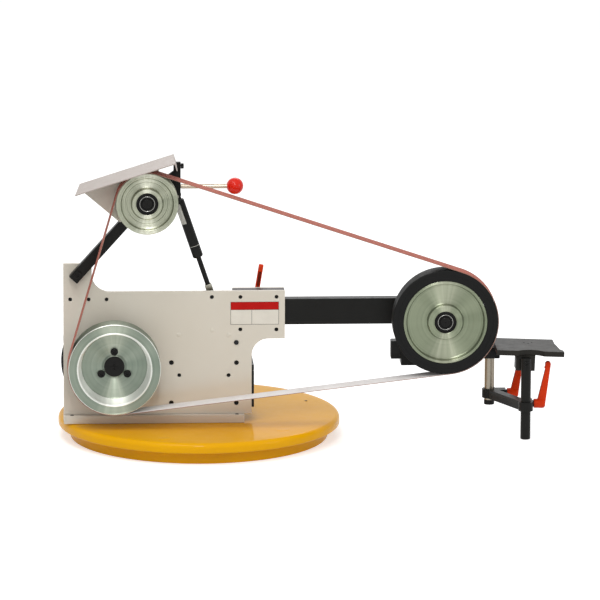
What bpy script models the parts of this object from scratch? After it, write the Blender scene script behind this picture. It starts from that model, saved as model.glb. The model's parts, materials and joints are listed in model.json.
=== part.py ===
"""Three-wheel abrasive belt grinder on a round swivel base.

Metres, +Z up, +X towards the contact wheel, -Y towards the operator's side with the wheels.
The origin is on the floor, on the swivel's axis.
"""

import math

import bmesh
import bpy
from mathutils import Matrix, Vector

# ---------------------------------------------------------------- driving dimensions
GAP = 0.0003                 # between seated faces
RUNNING = 0.0005             # each side of a sliding piece
ROUND = 40                   # facets of a large turned piece
FINE = 20                    # facets of a small turned piece

BASE_RADIUS = 0.247
BASE_HEIGHT = 0.022
SWIVEL_SPACE = 0.002         # between base and turntable
TURNTABLE_RADIUS = 0.270
TURNTABLE_HEIGHT = 0.020
RING_OUTER = 0.090
RING_INNER = 0.050
RING_HEIGHT = 0.0027
SWIVEL_PIN_RADIUS = 0.012
SWIVEL_HEAD_RADIUS = 0.020
SWIVEL_HEAD_HEIGHT = 0.010
PLUG_RADIUS = 0.0125
PLUG_SPOT = (0.1535, -0.1604)

FOOT_HEIGHT = 0.016
FOOT_DEPTH = 0.040
FOOT_LEDGE = 0.010           # how far the foot bar stands out in front of the plate
FOOT_RIGHT = 0.083

PLATE_FRONT = -0.089
PLATE_THICKNESS = 0.008
PLATE_LEFT = -0.261
PLATE_RIGHT = 0.097
PLATE_TOP = 0.299
TAB_RIGHT = -0.207
TAB_TOP = 0.354
TAB_FILLET = 0.034
TONGUE_RIGHT = 0.160
TONGUE_BOTTOM = 0.206
TONGUE_FILLET = 0.032

WHEEL_WIDTH = 0.042
BELT_WIDTH = 0.040
BELT_THICKNESS = 0.0012

DRIVE_CENTRE = (-0.1655, 0.1627)
DRIVE_RADIUS = 0.0875
DISH_MOUTH = 0.068
DISH_FLOOR = 0.064
DISH_DEPTH = 0.033
HUB_RADIUS = 0.036
HUB_HEIGHT = 0.012
SHAFT_RADIUS = 0.012
CAP_RADIUS = 0.0195
CAP_HEIGHT = 0.004

CONTACT_CENTRE = (0.461, 0.250)
CONTACT_RADIUS = 0.100
TYRE_THICKNESS = 0.0203
CONTACT_RIM = 0.005
CONTACT_BOSS = 0.033
WEB_RECESS = 0.010

TRACKING_CENTRE = (-0.1035, 0.4815)
TRACKING_RADIUS = 0.0585
TRACKING_RIM = 0.010
TRACKING_BOSS = 0.030

BEARING_RADIUS = 0.0208
AXLE_RADIUS = 0.010
AXLE_SHOULDER = 0.014

MOTOR_FLANGE_RADIUS = 0.100
MOTOR_FLANGE_THICKNESS = 0.012
MOTOR_RADIUS = 0.093
MOTOR_LENGTH = 0.150
MOTOR_WALL = 0.030
ROTOR_LENGTH = 0.090
FAN_COVER_LENGTH = 0.045
FAN_COVER_WALL = 0.002
FAN_RADIUS = 0.075
FAN_WIDTH = 0.016
MOTOR_OPENING = 0.045

BOX_LEFT = 0.002
BOX_RIGHT = 0.102
BOX_DEPTH = 0.090
BOX_BOTTOM = 0.071
BOX_TOP = 0.141
BOX_WALL = 0.003
LID_HEIGHT = 0.012
BUTTON_RADIUS = 0.011
BUTTON_LENGTH = 0.014
BUTTON_TRAVEL = 0.003
BUTTON_PITCH = 0.036

ARM_HEIGHT = 0.050
ARM_DEPTH = 0.025
ARM_BOTTOM = 0.231
ARM_LEFT = 0.042
ARM_PAST_WHEEL = 0.031       # beyond the contact wheel's centre
RECEIVER_LEFT = 0.061
RECEIVER_BAR = 0.0165
RECEIVER_BACK = 0.006
LOCK_X = 0.104
LOCK_STUD = 0.005

LEVER_HUB_RADIUS = 0.009
LEVER_HUB_LENGTH = 0.023
LEVER_LENGTH = 0.078
LEVER_STUD = 0.003
LEVER_COLLAR = 0.001         # of bare stud between a clamp and its lever
LEVER_THICKNESS = 0.009
LEVER_LEAN = math.radians(9)

PIVOT = (-0.2335, 0.3365)
BAR_SIDE = 0.020
BAR_SPACE = 0.0032           # washer between the plate and the tension bar
BAR_OVERHANG = 0.014         # past each of its two axes
PIVOT_RADIUS = 0.005

HOOD_TILT = math.radians(17.6)
HOOD_CLEARANCE = 0.002       # over the belt
HOOD_SHEET = 0.002
CHEEK_CLEARANCE = 0.0038     # cheek to wheel backs
HOOD_LEFT = 0.123
HOOD_RIGHT = 0.0745
HOOD_FRONT = 0.030           # in front of the wheels
HOOD_SKEW = 0.011
HOOD_LIP = 0.013

BRACKET_THICKNESS = 0.008
BRACKET_LEFT = -0.052
BRACKET_RIGHT = -0.0385
BRACKET_TOP = 0.549
BRACKET_BOTTOM = 0.473
HANDLE_HEIGHT = 0.502
HANDLE_ROD = 0.0045
HANDLE_END = 0.064
BALL_RADIUS = 0.016
TRACKING_SCREW_HEIGHT = 0.541

GAS_TOP = (-0.0452, 0.482)
GAS_BOTTOM = (0.0211, 0.2874)
GAS_RADIUS = 0.010
GAS_ROD = 0.0048
GAS_CYLINDER_START = 0.012
GAS_CYLINDER_END = 0.128
GAS_ROD_START = 0.100
GAS_FITTING_START = 0.184
GAS_FITTING = 0.0075
GAS_STUD = 0.0035
GAS_EYE = 0.0085
GAS_OPEN_CLEARANCE = 0.0016  # round the lower stud, where the linkage is opened
GAS_Y = -0.066

REST_BAR_LEFT = CONTACT_CENTRE[0] - 0.098
REST_BAR_RIGHT = CONTACT_CENTRE[0] + 0.079
REST_BAR_HEIGHT = 0.035
REST_BAR_DEPTH = 0.025
REST_BAR_BOTTOM = 0.163
SLEEVE_LEFT = CONTACT_CENTRE[0] - 0.079
SLEEVE_LENGTH = 0.060
SLEEVE_WALL = 0.0115
BRACKET_OVERLAP = 0.044      # of the rest bracket on the arm's rear face

POST_RADIUS = 0.0095
REAR_POST = (REST_BAR_RIGHT + 0.013, -0.070)
REAR_POST_BOTTOM = 0.071
HEAD_WIDTH = 0.031
HEAD_DEPTH = 0.034
HEAD_HEIGHT = 0.022
FRONT_POST = (REAR_POST[0] + 0.0595, -0.186)
FRONT_POST_BOTTOM = 0.029
LINK_BOTTOM = 0.084
LINK_HEIGHT = 0.0175
LINK_WIDTH = 0.018
LINK_BOSS = 0.014
LUG_WIDTH = 0.022
LUG_STEP = 0.001
REAR_LUG_FACE = REAR_POST[0] + 0.0315
FRONT_LUG_FACE = FRONT_POST[0] + 0.0145
FRONT_LUG_Y = FRONT_POST[1] + 0.0225

REST_TOP = 0.200
REST_THICKNESS = 0.010
REST_LEFT = FRONT_POST[0] - 0.0565
REST_RIGHT = FRONT_POST[0] + 0.0715
REST_NEAR = -0.189
REST_FAR = -0.0775
REST_NOTCH = 0.012
REST_NOTCH_HALF = 0.0245
REST_NOTCH_X = FRONT_POST[0] + 0.009
REST_CORNER = 0.012
REST_TILT = math.radians(2.2)
TILT_HEIGHT = 0.176
BLOCK_WIDTH = 0.036
BLOCK_DEPTH = 0.036
BLOCK_HEIGHT = 0.031
TILT_SCREW = 0.003
TILT_SCREW_HEAD = 0.0047

# ---------------------------------------------------------------- levels worked out from them
DECK = BASE_HEIGHT + SWIVEL_SPACE + TURNTABLE_HEIGHT
PLATE_BACK = PLATE_FRONT + PLATE_THICKNESS
PLATE_BOTTOM = DECK + FOOT_HEIGHT + 2 * GAP
WHEEL_SPACE = BAR_SPACE + BAR_SIDE + HOOD_SHEET + CHEEK_CLEARANCE
WHEEL_BACK = PLATE_FRONT - WHEEL_SPACE
WHEEL_FRONT = WHEEL_BACK - WHEEL_WIDTH
WHEEL_MIDDLE = (WHEEL_BACK + WHEEL_FRONT) / 2
ARM_FRONT = PLATE_BACK + RUNNING
ARM_BACK = ARM_FRONT + ARM_DEPTH
ARM_TOP = ARM_BOTTOM + ARM_HEIGHT
ARM_RIGHT = CONTACT_CENTRE[0] + ARM_PAST_WHEEL
ARM_MIDDLE = (ARM_BOTTOM + ARM_TOP) / 2
RECEIVER_FACE = ARM_BACK + RUNNING
BAR_BACK = PLATE_FRONT - BAR_SPACE
BAR_FRONT = BAR_BACK - BAR_SIDE
REST_BAR_FRONT = ARM_BACK - 0.0025 - REST_BAR_DEPTH
REST_BAR_TOP = REST_BAR_BOTTOM + REST_BAR_HEIGHT
SLEEVE_RIGHT = SLEEVE_LEFT + SLEEVE_LENGTH
BRACKET_FRONT = BAR_BACK + GAP

SLATE = (0.035, 0.035, 0.036)
COLOURS = {
    "yellow_paint": ((0.68, 0.36, 0.010), 0.25, 0.0),
    "beige_paint": ((0.60, 0.56, 0.48), 0.45, 0.0),
    "black_steel": (SLATE, 0.45, 0.6),
    "black_plastic": ((0.012, 0.012, 0.012), 0.5, 0.0),
    "aluminium": ((0.62, 0.63, 0.60), 0.28, 1.0),
    "steel": ((0.50, 0.49, 0.47), 0.3, 1.0),
    "rubber": ((0.014, 0.014, 0.014), 0.7, 0.0),
    "belt": ((0.36, 0.09, 0.06), 0.9, 0.0),
    "red_plastic": ((0.72, 0.02, 0.01), 0.2, 0.0),
    "orange_plastic": ((0.75, 0.09, 0.01), 0.4, 0.0),
    "green_plastic": ((0.02, 0.30, 0.06), 0.4, 0.0),
    "motor_paint": ((0.016, 0.016, 0.017), 0.5, 0.0),
}


# ---------------------------------------------------------------- helpers
def clear_scene():
    for old in list(bpy.data.objects):
        bpy.data.objects.remove(old)


def new_collection(name):
    group = bpy.data.collections.new(name)
    bpy.context.scene.collection.children.link(group)
    return group


def finish_of(name):
    """The Principled material of one finish, made the first time that it is asked for."""
    found = bpy.data.materials.get(name)
    if found:
        return found
    colour, roughness, metallic = COLOURS[name]
    material = bpy.data.materials.new(name)
    material.use_nodes = True
    shader = material.node_tree.nodes["Principled BSDF"]
    shader.inputs["Base Color"].default_value = (*colour, 1)
    shader.inputs["Roughness"].default_value = roughness
    shader.inputs["Metallic"].default_value = metallic
    return material


def add_object(name, mesh, finish, smooth=True):
    piece = bpy.data.objects.new(name, mesh)
    parts.objects.link(piece)
    mesh.materials.append(finish_of(finish).copy() if name != finish else finish_of(finish))
    mesh.materials[0].name = name
    if smooth:
        mesh.shade_smooth()
        mesh.set_sharp_from_angle(angle=math.radians(35))
    return piece


def as_cutter(piece):
    """Takes a helper out of the render and out of the parts."""
    parts.objects.unlink(piece)
    cutters.objects.link(piece)
    piece.hide_render = True
    piece.display_type = "WIRE"
    return piece


def combine(piece, other, operation="DIFFERENCE"):
    step = piece.modifiers.new(other.name, "BOOLEAN")
    step.operation = operation
    step.object = as_cutter(other)
    return piece


def box(name, low, high, finish, bevel=0.0):
    mesh = bpy.data.meshes.new(name)
    shape = bmesh.new()
    bmesh.ops.create_cube(shape, size=1)
    size = Vector(high) - Vector(low)
    bmesh.ops.scale(shape, vec=size, verts=shape.verts)
    shape.to_mesh(mesh)
    shape.free()
    piece = add_object(name, mesh, finish, smooth=False)
    piece.location = (Vector(low) + Vector(high)) / 2
    if bevel:
        edge = piece.modifiers.new("edge", "BEVEL")
        edge.width = bevel
        edge.segments = 2
    return piece


AXES = {
    "up": Matrix.Identity(3),
    "front": Matrix.Rotation(math.pi / 2, 3, "X"),
    "back": Matrix.Rotation(-math.pi / 2, 3, "X"),
    "right": Matrix.Rotation(math.pi / 2, 3, "Y"),
}


def turned(name, profile, origin, axis, finish, steps=ROUND):
    """A turned piece. The profile's (radius, height) points run down the outer side."""
    mesh = bpy.data.meshes.new(name)
    shape = bmesh.new()
    points = [shape.verts.new((radius, 0, height)) for radius, height in profile]
    closed = profile[0][0] > 0
    for first, second in zip(points, points[1:] + points[:1] if closed else points[1:]):
        shape.edges.new((first, second))
    shape.to_mesh(mesh)
    shape.free()
    piece = add_object(name, mesh, finish)
    piece.matrix_world = Matrix.Translation(origin) @ AXES[axis].to_4x4()
    spin = piece.modifiers.new("turn", "SCREW")
    spin.steps = steps
    spin.render_steps = steps
    spin.use_merge_vertices = True
    spin.merge_threshold = 0.0001
    spin.use_smooth_shade = True
    return piece


def rod(name, radius, start, end, origin, axis, finish, steps=FINE):
    return turned(name, [(0, end), (radius, end), (radius, start), (0, start)], origin, axis, finish, steps)


def ring(name, outer, inner, start, end, origin, axis, finish, steps=ROUND):
    profile = [(outer, end), (outer, start), (inner, start), (inner, end)]
    return turned(name, profile, origin, axis, finish, steps)


def arc(centre, radius, first, last, count):
    """Points along an arc, angles in degrees from +X towards +Z."""
    found = []
    for index in range(count + 1):
        angle = math.radians(first + (last - first) * index / count)
        found.append((centre[0] + radius * math.cos(angle), centre[1] + radius * math.sin(angle)))
    return found


def circle(centre, radius, count=FINE):
    return arc(centre, radius, 0, 360, count)[:-1]


def flat(name, outline, start, end, finish, plane="XZ", holes=()):
    """A flat outline with its holes, extruded along -Y (plane XZ), +Z (plane XY) or +X (plane YZ)."""
    curve = bpy.data.curves.new(name, "CURVE")
    curve.dimensions = "2D"
    curve.fill_mode = "BOTH"
    curve.extrude = (end - start) / 2
    for loop in (outline, *holes):
        spline = curve.splines.new("POLY")
        spline.points.add(len(loop) - 1)
        for point, (across, along) in zip(spline.points, loop):
            point.co = (across, along, 0, 1)
        spline.use_cyclic_u = True
    guide = bpy.data.objects.new(name + "_outline", curve)
    bpy.context.scene.collection.objects.link(guide)
    graph = bpy.context.evaluated_depsgraph_get()
    mesh = bpy.data.meshes.new_from_object(guide.evaluated_get(graph))
    bpy.data.objects.remove(guide)
    shape = bmesh.new()
    shape.from_mesh(mesh)
    bmesh.ops.remove_doubles(shape, verts=shape.verts, dist=1e-6)
    bmesh.ops.recalc_face_normals(shape, faces=shape.faces)
    shape.to_mesh(mesh)
    shape.free()
    mesh.materials.clear()
    piece = add_object(name, mesh, finish)
    middle = (start + end) / 2
    if plane == "XZ":
        piece.matrix_world = Matrix.Translation((0, middle, 0)) @ AXES["front"].to_4x4()
    elif plane == "XY":
        piece.matrix_world = Matrix.Translation((0, 0, middle))
    else:
        turn = Matrix(((0, 0, 1), (1, 0, 0), (0, 1, 0)))
        piece.matrix_world = Matrix.Translation((middle, 0, 0)) @ turn.to_4x4()
    return piece


def at(centre, y=0.0):
    """A point of the XZ plane, moved to one Y."""
    return Vector((centre[0], y, centre[1]))


def body_of(name, origin, pieces, parent=None):
    """Parents the pieces to an empty on their joint's axis."""
    holder = bpy.data.objects.new(name, None)
    holder.empty_display_size = 0.03
    holder.location = origin
    bpy.context.scene.collection.objects.link(holder)
    bpy.context.view_layer.update()
    for piece in pieces:
        piece.parent = holder
        piece.matrix_parent_inverse = holder.matrix_world.inverted()
    if parent:
        holder.parent = parent
        holder.matrix_parent_inverse = parent.matrix_world.inverted()
    return holder


# ---------------------------------------------------------------- swivel base
def make_base():
    pin_hole = SWIVEL_PIN_RADIUS + GAP
    pin_floor = BASE_HEIGHT / 3
    profile = [
        (0, pin_floor), (pin_hole, pin_floor), (pin_hole, BASE_HEIGHT), (BASE_RADIUS - 0.003, BASE_HEIGHT),
        (BASE_RADIUS, BASE_HEIGHT - 0.003), (BASE_RADIUS, 0), (0, 0),
    ]
    turned("base_disc", profile, (0, 0, 0), "up", "yellow_paint", 2 * ROUND)
    lower = BASE_HEIGHT + GAP
    ring("swivel_ring_lower", RING_OUTER, RING_INNER, lower, lower + RING_HEIGHT, (0, 0, 0), "up", "steel")
    head = DECK + GAP
    profile = [
        (0, head + SWIVEL_HEAD_HEIGHT), (SWIVEL_HEAD_RADIUS, head + SWIVEL_HEAD_HEIGHT),
        (SWIVEL_HEAD_RADIUS, head), (SWIVEL_PIN_RADIUS, head),
        (SWIVEL_PIN_RADIUS, pin_floor + GAP), (0, pin_floor + GAP),
    ]
    turned("swivel_pin", profile, (0, 0, 0), "up", "steel", FINE)


def make_turntable():
    bottom = BASE_HEIGHT + SWIVEL_SPACE
    pocket = BASE_HEIGHT + 3 * GAP + 2 * RING_HEIGHT
    pin_hole = SWIVEL_PIN_RADIUS + GAP
    profile = [
        (pin_hole, DECK), (TURNTABLE_RADIUS - 0.012, DECK), (TURNTABLE_RADIUS - 0.004, DECK - 0.0015),
        (TURNTABLE_RADIUS, DECK - 0.006), (TURNTABLE_RADIUS, bottom + 0.002), (TURNTABLE_RADIUS - 0.003, bottom),
        (RING_OUTER + RUNNING, bottom), (RING_OUTER + RUNNING, pocket), (pin_hole, pocket),
    ]
    table = turned("turntable", profile, (0, 0, 0), "up", "yellow_paint", 2 * ROUND)
    seat = rod("plug_seat", PLUG_RADIUS + GAP, -0.004, 0.01, (*PLUG_SPOT, DECK), "up", "steel")
    combine(table, seat)
    plug = rod("turntable_plug", PLUG_RADIUS, -0.004 + GAP, 0.0006, (*PLUG_SPOT, DECK), "up", "yellow_paint")
    upper = BASE_HEIGHT + 2 * GAP + RING_HEIGHT
    race = ring("swivel_ring_upper", RING_OUTER, RING_INNER, upper, upper + RING_HEIGHT, (0, 0, 0), "up", "steel")
    return [table, race, plug]


# ---------------------------------------------------------------- main frame
def make_plate():
    """The side plate that carries everything, with its tab, its tongue and its motor opening."""
    tab_centre = (TAB_RIGHT + TAB_FILLET, PLATE_TOP + TAB_FILLET)
    tongue_centre = (PLATE_RIGHT + TONGUE_FILLET, TONGUE_BOTTOM - TONGUE_FILLET)
    outline = [(PLATE_LEFT, PLATE_BOTTOM), (PLATE_RIGHT, PLATE_BOTTOM)]
    outline += arc(tongue_centre, TONGUE_FILLET, 180, 90, 10)
    outline += [(TONGUE_RIGHT, TONGUE_BOTTOM), (TONGUE_RIGHT, PLATE_TOP)]
    outline += arc(tab_centre, TAB_FILLET, 270, 180, 10)
    outline += [(TAB_RIGHT, TAB_TOP), (PLATE_LEFT, TAB_TOP)]
    holes = [
        circle(DRIVE_CENTRE, MOTOR_OPENING, 32),
        circle(PIVOT, PIVOT_RADIUS + GAP),
        circle(GAS_BOTTOM, GAS_STUD + GAP),
    ]
    plate = flat("side_plate", outline, PLATE_FRONT, PLATE_BACK, "beige_paint", holes=holes)
    foot_front = PLATE_FRONT - FOOT_LEDGE
    foot = box("foot_bar", (PLATE_LEFT, foot_front, DECK + GAP),
               (FOOT_RIGHT, foot_front + FOOT_DEPTH, DECK + GAP + FOOT_HEIGHT), "beige_paint", 0.0008)
    return [plate, foot]


def make_gusset(name, left, top):
    """A triangular brace behind the plate, notched over the foot bar."""
    wall = PLATE_BACK + GAP
    heel = PLATE_FRONT - FOOT_LEDGE + FOOT_DEPTH + GAP
    outline = [
        (wall, PLATE_BOTTOM), (heel, PLATE_BOTTOM), (heel, DECK + GAP), (heel + 0.110, DECK + GAP),
        (heel + 0.110, DECK + GAP + 0.015), (wall + 0.012, top), (wall, top),
    ]
    return flat(name, outline, left, left + 0.006, "beige_paint", plane="YZ")


def make_receiver():
    """The channel behind the tongue in which the arm slides."""
    front = PLATE_BACK + GAP
    back = RECEIVER_FACE - GAP
    upper = ARM_TOP + GAP
    lower = ARM_BOTTOM - GAP
    top = box("receiver_top_bar", (RECEIVER_LEFT, front, upper),
              (TONGUE_RIGHT, back, upper + RECEIVER_BAR), "black_steel", 0.001)
    bottom = box("receiver_bottom_bar", (RECEIVER_LEFT, front, lower - RECEIVER_BAR),
                 (TONGUE_RIGHT, back, lower), "black_steel", 0.001)
    outline = [
        (RECEIVER_LEFT, lower - RECEIVER_BAR), (TONGUE_RIGHT, lower - RECEIVER_BAR),
        (TONGUE_RIGHT, upper + RECEIVER_BAR), (RECEIVER_LEFT, upper + RECEIVER_BAR),
    ]
    stud_hole = circle((LOCK_X, ARM_MIDDLE), LOCK_STUD + GAP)
    cover = flat("receiver_back_plate", outline, RECEIVER_FACE, RECEIVER_FACE + RECEIVER_BACK,
                 "beige_paint", holes=[stud_hole])
    return [top, bottom, cover]


# ---------------------------------------------------------------- motor and control box
def make_motor():
    front = PLATE_BACK + GAP
    body_start = front + MOTOR_FLANGE_THICKNESS + GAP
    body_end = body_start + MOTOR_LENGTH
    cover_end = body_end + GAP + FAN_COVER_LENGTH
    centre = at(DRIVE_CENTRE)
    bore = SHAFT_RADIUS + RUNNING
    flange = ring("motor_flange", MOTOR_FLANGE_RADIUS, bore, front, front + MOTOR_FLANGE_THICKNESS,
                  centre, "back", "motor_paint")
    inner = MOTOR_RADIUS - MOTOR_WALL
    profile = [
        (MOTOR_RADIUS, body_end), (MOTOR_RADIUS, body_start), (inner, body_start), (inner, body_end - 0.012),
        (bore, body_end - 0.012), (bore, body_end),
    ]
    housing = turned("motor_housing", profile, centre, "back", "motor_paint")
    wall = FAN_COVER_WALL
    profile = [
        (MOTOR_RADIUS - 0.006, cover_end), (MOTOR_RADIUS, cover_end - 0.006),
        (MOTOR_RADIUS, body_end + GAP), (MOTOR_RADIUS - wall, body_end + GAP),
        (MOTOR_RADIUS - wall, cover_end - 0.006), (MOTOR_RADIUS - 0.006, cover_end - wall),
        (bore, cover_end - wall), (bore, cover_end),
    ]
    cover = turned("motor_fan_cover", profile, centre, "back", "motor_paint")
    return [flange, housing, cover]


def make_rotor():
    """The turning line: hub, shaft, rotor and fan."""
    centre = at(DRIVE_CENTRE)
    body_start = PLATE_BACK + 2 * GAP + MOTOR_FLANGE_THICKNESS
    body_end = body_start + MOTOR_LENGTH
    rotor_start = body_start + 0.025
    rotor_radius = MOTOR_RADIUS - MOTOR_WALL - 0.001
    hub_front = WHEEL_BACK + GAP
    shaft_end = body_end + 0.030
    fan_start = body_end + 0.008
    profile = [
        (0, shaft_end), (SHAFT_RADIUS, shaft_end), (SHAFT_RADIUS, fan_start + FAN_WIDTH),
        (FAN_RADIUS, fan_start + FAN_WIDTH), (FAN_RADIUS, fan_start), (SHAFT_RADIUS, fan_start),
        (SHAFT_RADIUS, rotor_start + ROTOR_LENGTH),
        (rotor_radius, rotor_start + ROTOR_LENGTH), (rotor_radius, rotor_start), (SHAFT_RADIUS, rotor_start),
        (SHAFT_RADIUS, hub_front + HUB_HEIGHT), (HUB_RADIUS, hub_front + HUB_HEIGHT), (HUB_RADIUS, hub_front),
        (0, hub_front),
    ]
    return turned("motor_rotor", profile, centre, "back", "steel")


def make_control_box():
    front = PLATE_BACK + GAP
    back = front + BOX_DEPTH
    outer = box("control_box", (BOX_LEFT, front, BOX_BOTTOM), (BOX_RIGHT, back, BOX_TOP), "black_plastic")
    inside = box("box_inside", (BOX_LEFT + BOX_WALL, front + BOX_WALL, BOX_BOTTOM + BOX_WALL),
                 (BOX_RIGHT - BOX_WALL, back - BOX_WALL, BOX_TOP + 0.01), "black_plastic")
    combine(outer, inside)
    lid = box("control_box_lid", (BOX_LEFT, front, BOX_TOP + GAP),
              (BOX_RIGHT, back, BOX_TOP + GAP + LID_HEIGHT), "black_plastic", 0.002)
    middle_x = (BOX_LEFT + BOX_RIGHT) / 2
    middle_z = (BOX_BOTTOM + BOX_TOP) / 2 + 0.008
    buttons = []
    for side, name, finish in ((-1, "stop_button", "red_plastic"), (1, "start_button", "green_plastic")):
        spot = (middle_x + side * BUTTON_PITCH / 2, back, middle_z)
        hole = rod(name + "_hole", BUTTON_RADIUS + GAP, -0.02, 0.02, spot, "back", "steel")
        combine(outer, hole)
        inner_end = -BUTTON_LENGTH + 0.006
        buttons.append(rod(name, BUTTON_RADIUS, inner_end, 0.006, spot, "back", finish))
    return [outer, lid], buttons


# ---------------------------------------------------------------- wheels
def make_drive_wheel():
    """A dished aluminium wheel, screwed to the motor's hub."""
    floor = WHEEL_WIDTH - DISH_DEPTH
    profile = [
        (0, floor), (DISH_FLOOR - 0.002, floor), (DISH_FLOOR, floor + 0.002), (DISH_MOUTH, WHEEL_WIDTH),
        (DRIVE_RADIUS - 0.0015, WHEEL_WIDTH), (DRIVE_RADIUS, WHEEL_WIDTH - 0.0015),
        (DRIVE_RADIUS, 0.0015), (DRIVE_RADIUS - 0.0015, 0), (0, 0),
    ]
    centre = at(DRIVE_CENTRE, WHEEL_BACK)
    wheel = turned("drive_wheel", profile, centre, "front", "aluminium", 2 * ROUND)
    cap = turned("drive_cap", [
        (0, floor + GAP + CAP_HEIGHT), (CAP_RADIUS - 0.001, floor + GAP + CAP_HEIGHT),
        (CAP_RADIUS, floor + GAP + CAP_HEIGHT - 0.001), (CAP_RADIUS, floor + GAP), (0, floor + GAP),
    ], centre, "front", "black_steel", FINE)
    return [wheel, cap]


def wheel_profile(radius, rim, boss, recess):
    """Both faces of a wheel between its rim and its boss are recessed; the bore takes the bearing."""
    low = recess * 0.5
    bore = BEARING_RADIUS + GAP
    return [
        (radius, WHEEL_WIDTH), (radius, 0), (radius - rim, 0), (radius - rim - 0.003, low), (boss + 0.003, low),
        (boss, 0), (bore, 0), (bore, WHEEL_WIDTH), (boss, WHEEL_WIDTH), (boss + 0.004, WHEEL_WIDTH - recess),
        (radius - rim - 0.004, WHEEL_WIDTH - recess), (radius - rim, WHEEL_WIDTH),
    ]


def make_bearing(name, centre):
    """The wheel's bearing cartridge, set back a little from its front face."""
    return ring(name, BEARING_RADIUS, AXLE_RADIUS + GAP, 0.0005, WHEEL_WIDTH - 0.0025,
                centre, "front", "black_steel", 24)


def make_contact_wheel():
    centre = at(CONTACT_CENTRE, WHEEL_BACK)
    core = CONTACT_RADIUS - TYRE_THICKNESS
    hub = turned("contact_wheel_hub", wheel_profile(core, CONTACT_RIM, CONTACT_BOSS, WEB_RECESS),
                 centre, "front", "aluminium", 2 * ROUND)
    edge = 0.002
    profile = [
        (CONTACT_RADIUS - edge, WHEEL_WIDTH), (CONTACT_RADIUS, WHEEL_WIDTH - edge), (CONTACT_RADIUS, edge),
        (CONTACT_RADIUS - edge, 0), (core + GAP, 0), (core + GAP, WHEEL_WIDTH),
    ]
    tyre = turned("contact_wheel_tyre", profile, centre, "front", "rubber", 2 * ROUND)
    return [hub, tyre, make_bearing("contact_bearing", centre)]


def make_tracking_wheel():
    centre = at(TRACKING_CENTRE, WHEEL_BACK)
    wheel = turned("tracking_wheel", wheel_profile(TRACKING_RADIUS, TRACKING_RIM, TRACKING_BOSS, 0.008),
                   centre, "front", "aluminium", 2 * ROUND)
    return [wheel, make_bearing("tracking_bearing", centre)]


def make_axle(name, centre, seat_front, neck, end):
    """An axle: bearing seat, shoulder against the seat's front face, and a neck through it."""
    shoulder = WHEEL_BACK + 0.0002
    tip = WHEEL_FRONT + 0.0015
    profile = [
        (0, end), (neck, end), (neck, seat_front - GAP), (AXLE_SHOULDER, seat_front - GAP),
        (AXLE_SHOULDER, shoulder), (AXLE_RADIUS, shoulder), (AXLE_RADIUS, tip), (0, tip),
    ]
    return turned(name, profile, at(centre), "back", "black_steel", 24)


# ---------------------------------------------------------------- belt
def tangent_loop(wheels, offset, steps):
    """The closed path of a belt round the wheels, which are listed anticlockwise in X and Z."""
    path = []
    count = len(wheels)
    for index, (centre, radius) in enumerate(wheels):
        before, after = wheels[index - 1], wheels[(index + 1) % count]
        start = outer_normal(before, (centre, radius))
        end = outer_normal((centre, radius), after)
        if end < start:
            end += math.tau
        path += arc(centre, radius + offset, math.degrees(start), math.degrees(end), steps)
    return path


def outer_normal(first, second):
    """The direction from each centre to the point where the outer tangent of two circles touches."""
    (x1, z1), r1 = first
    (x2, z2), r2 = second
    distance = math.hypot(x2 - x1, z2 - z1)
    along = math.atan2(z2 - z1, x2 - x1)
    return along - math.acos((r1 - r2) / distance)


def make_belt():
    wheels = [
        (DRIVE_CENTRE, DRIVE_RADIUS), (CONTACT_CENTRE, CONTACT_RADIUS), (TRACKING_CENTRE, TRACKING_RADIUS),
    ]
    inner = tangent_loop(wheels, GAP, 24)
    outer = tangent_loop(wheels, GAP + BELT_THICKNESS, 24)
    half = BELT_WIDTH / 2
    return flat("abrasive_belt", outer, WHEEL_MIDDLE - half, WHEEL_MIDDLE + half, "belt", holes=[inner])


# ---------------------------------------------------------------- clamp levers
def make_lever(name, origin, outward, upward, stud, inside):
    """A clamping lever: a hub along outward, its stud into the clamp, and a grip that leans outwards."""
    side = outward.cross(upward)
    frame = Matrix((upward, side, outward)).transposed().to_4x4()
    frame.translation = origin
    lever = turned(name, [
        (0, LEVER_HUB_LENGTH), (LEVER_HUB_RADIUS, LEVER_HUB_LENGTH), (LEVER_HUB_RADIUS, GAP), (stud, GAP),
        (stud, -inside), (0, -inside),
    ], (0, 0, 0), "up", "orange_plastic", FINE)
    low, high = 0.0065, 0.0045
    tip = LEVER_LENGTH
    shift = tip * math.tan(LEVER_LEAN)
    root = LEVER_HUB_LENGTH - low
    outline = arc((0.0, root), low, 90, 270, 6) + arc((tip, root + shift), high, -90, 90, 6)
    half = LEVER_THICKNESS / 2
    grip = flat(name + "_grip", outline, -half, half, "orange_plastic")
    combine(lever, grip, "UNION")
    lever.matrix_world = frame
    grip.matrix_world = frame @ grip.matrix_world
    return lever


# ---------------------------------------------------------------- sliding arm
def make_arm():
    arm = box("slide_arm", (ARM_LEFT, ARM_FRONT, ARM_BOTTOM), (ARM_RIGHT, ARM_BACK, ARM_TOP), "black_steel", 0.002)
    hole = rod("contact_axle_hole", AXLE_RADIUS + GAP, -0.05, 0.05, at(CONTACT_CENTRE, ARM_FRONT), "back", "steel")
    combine(arm, hole)
    axle = make_axle("contact_axle", CONTACT_CENTRE, ARM_FRONT, AXLE_RADIUS, ARM_BACK + 0.012)
    return [arm, axle, make_rest_bracket()]


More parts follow.
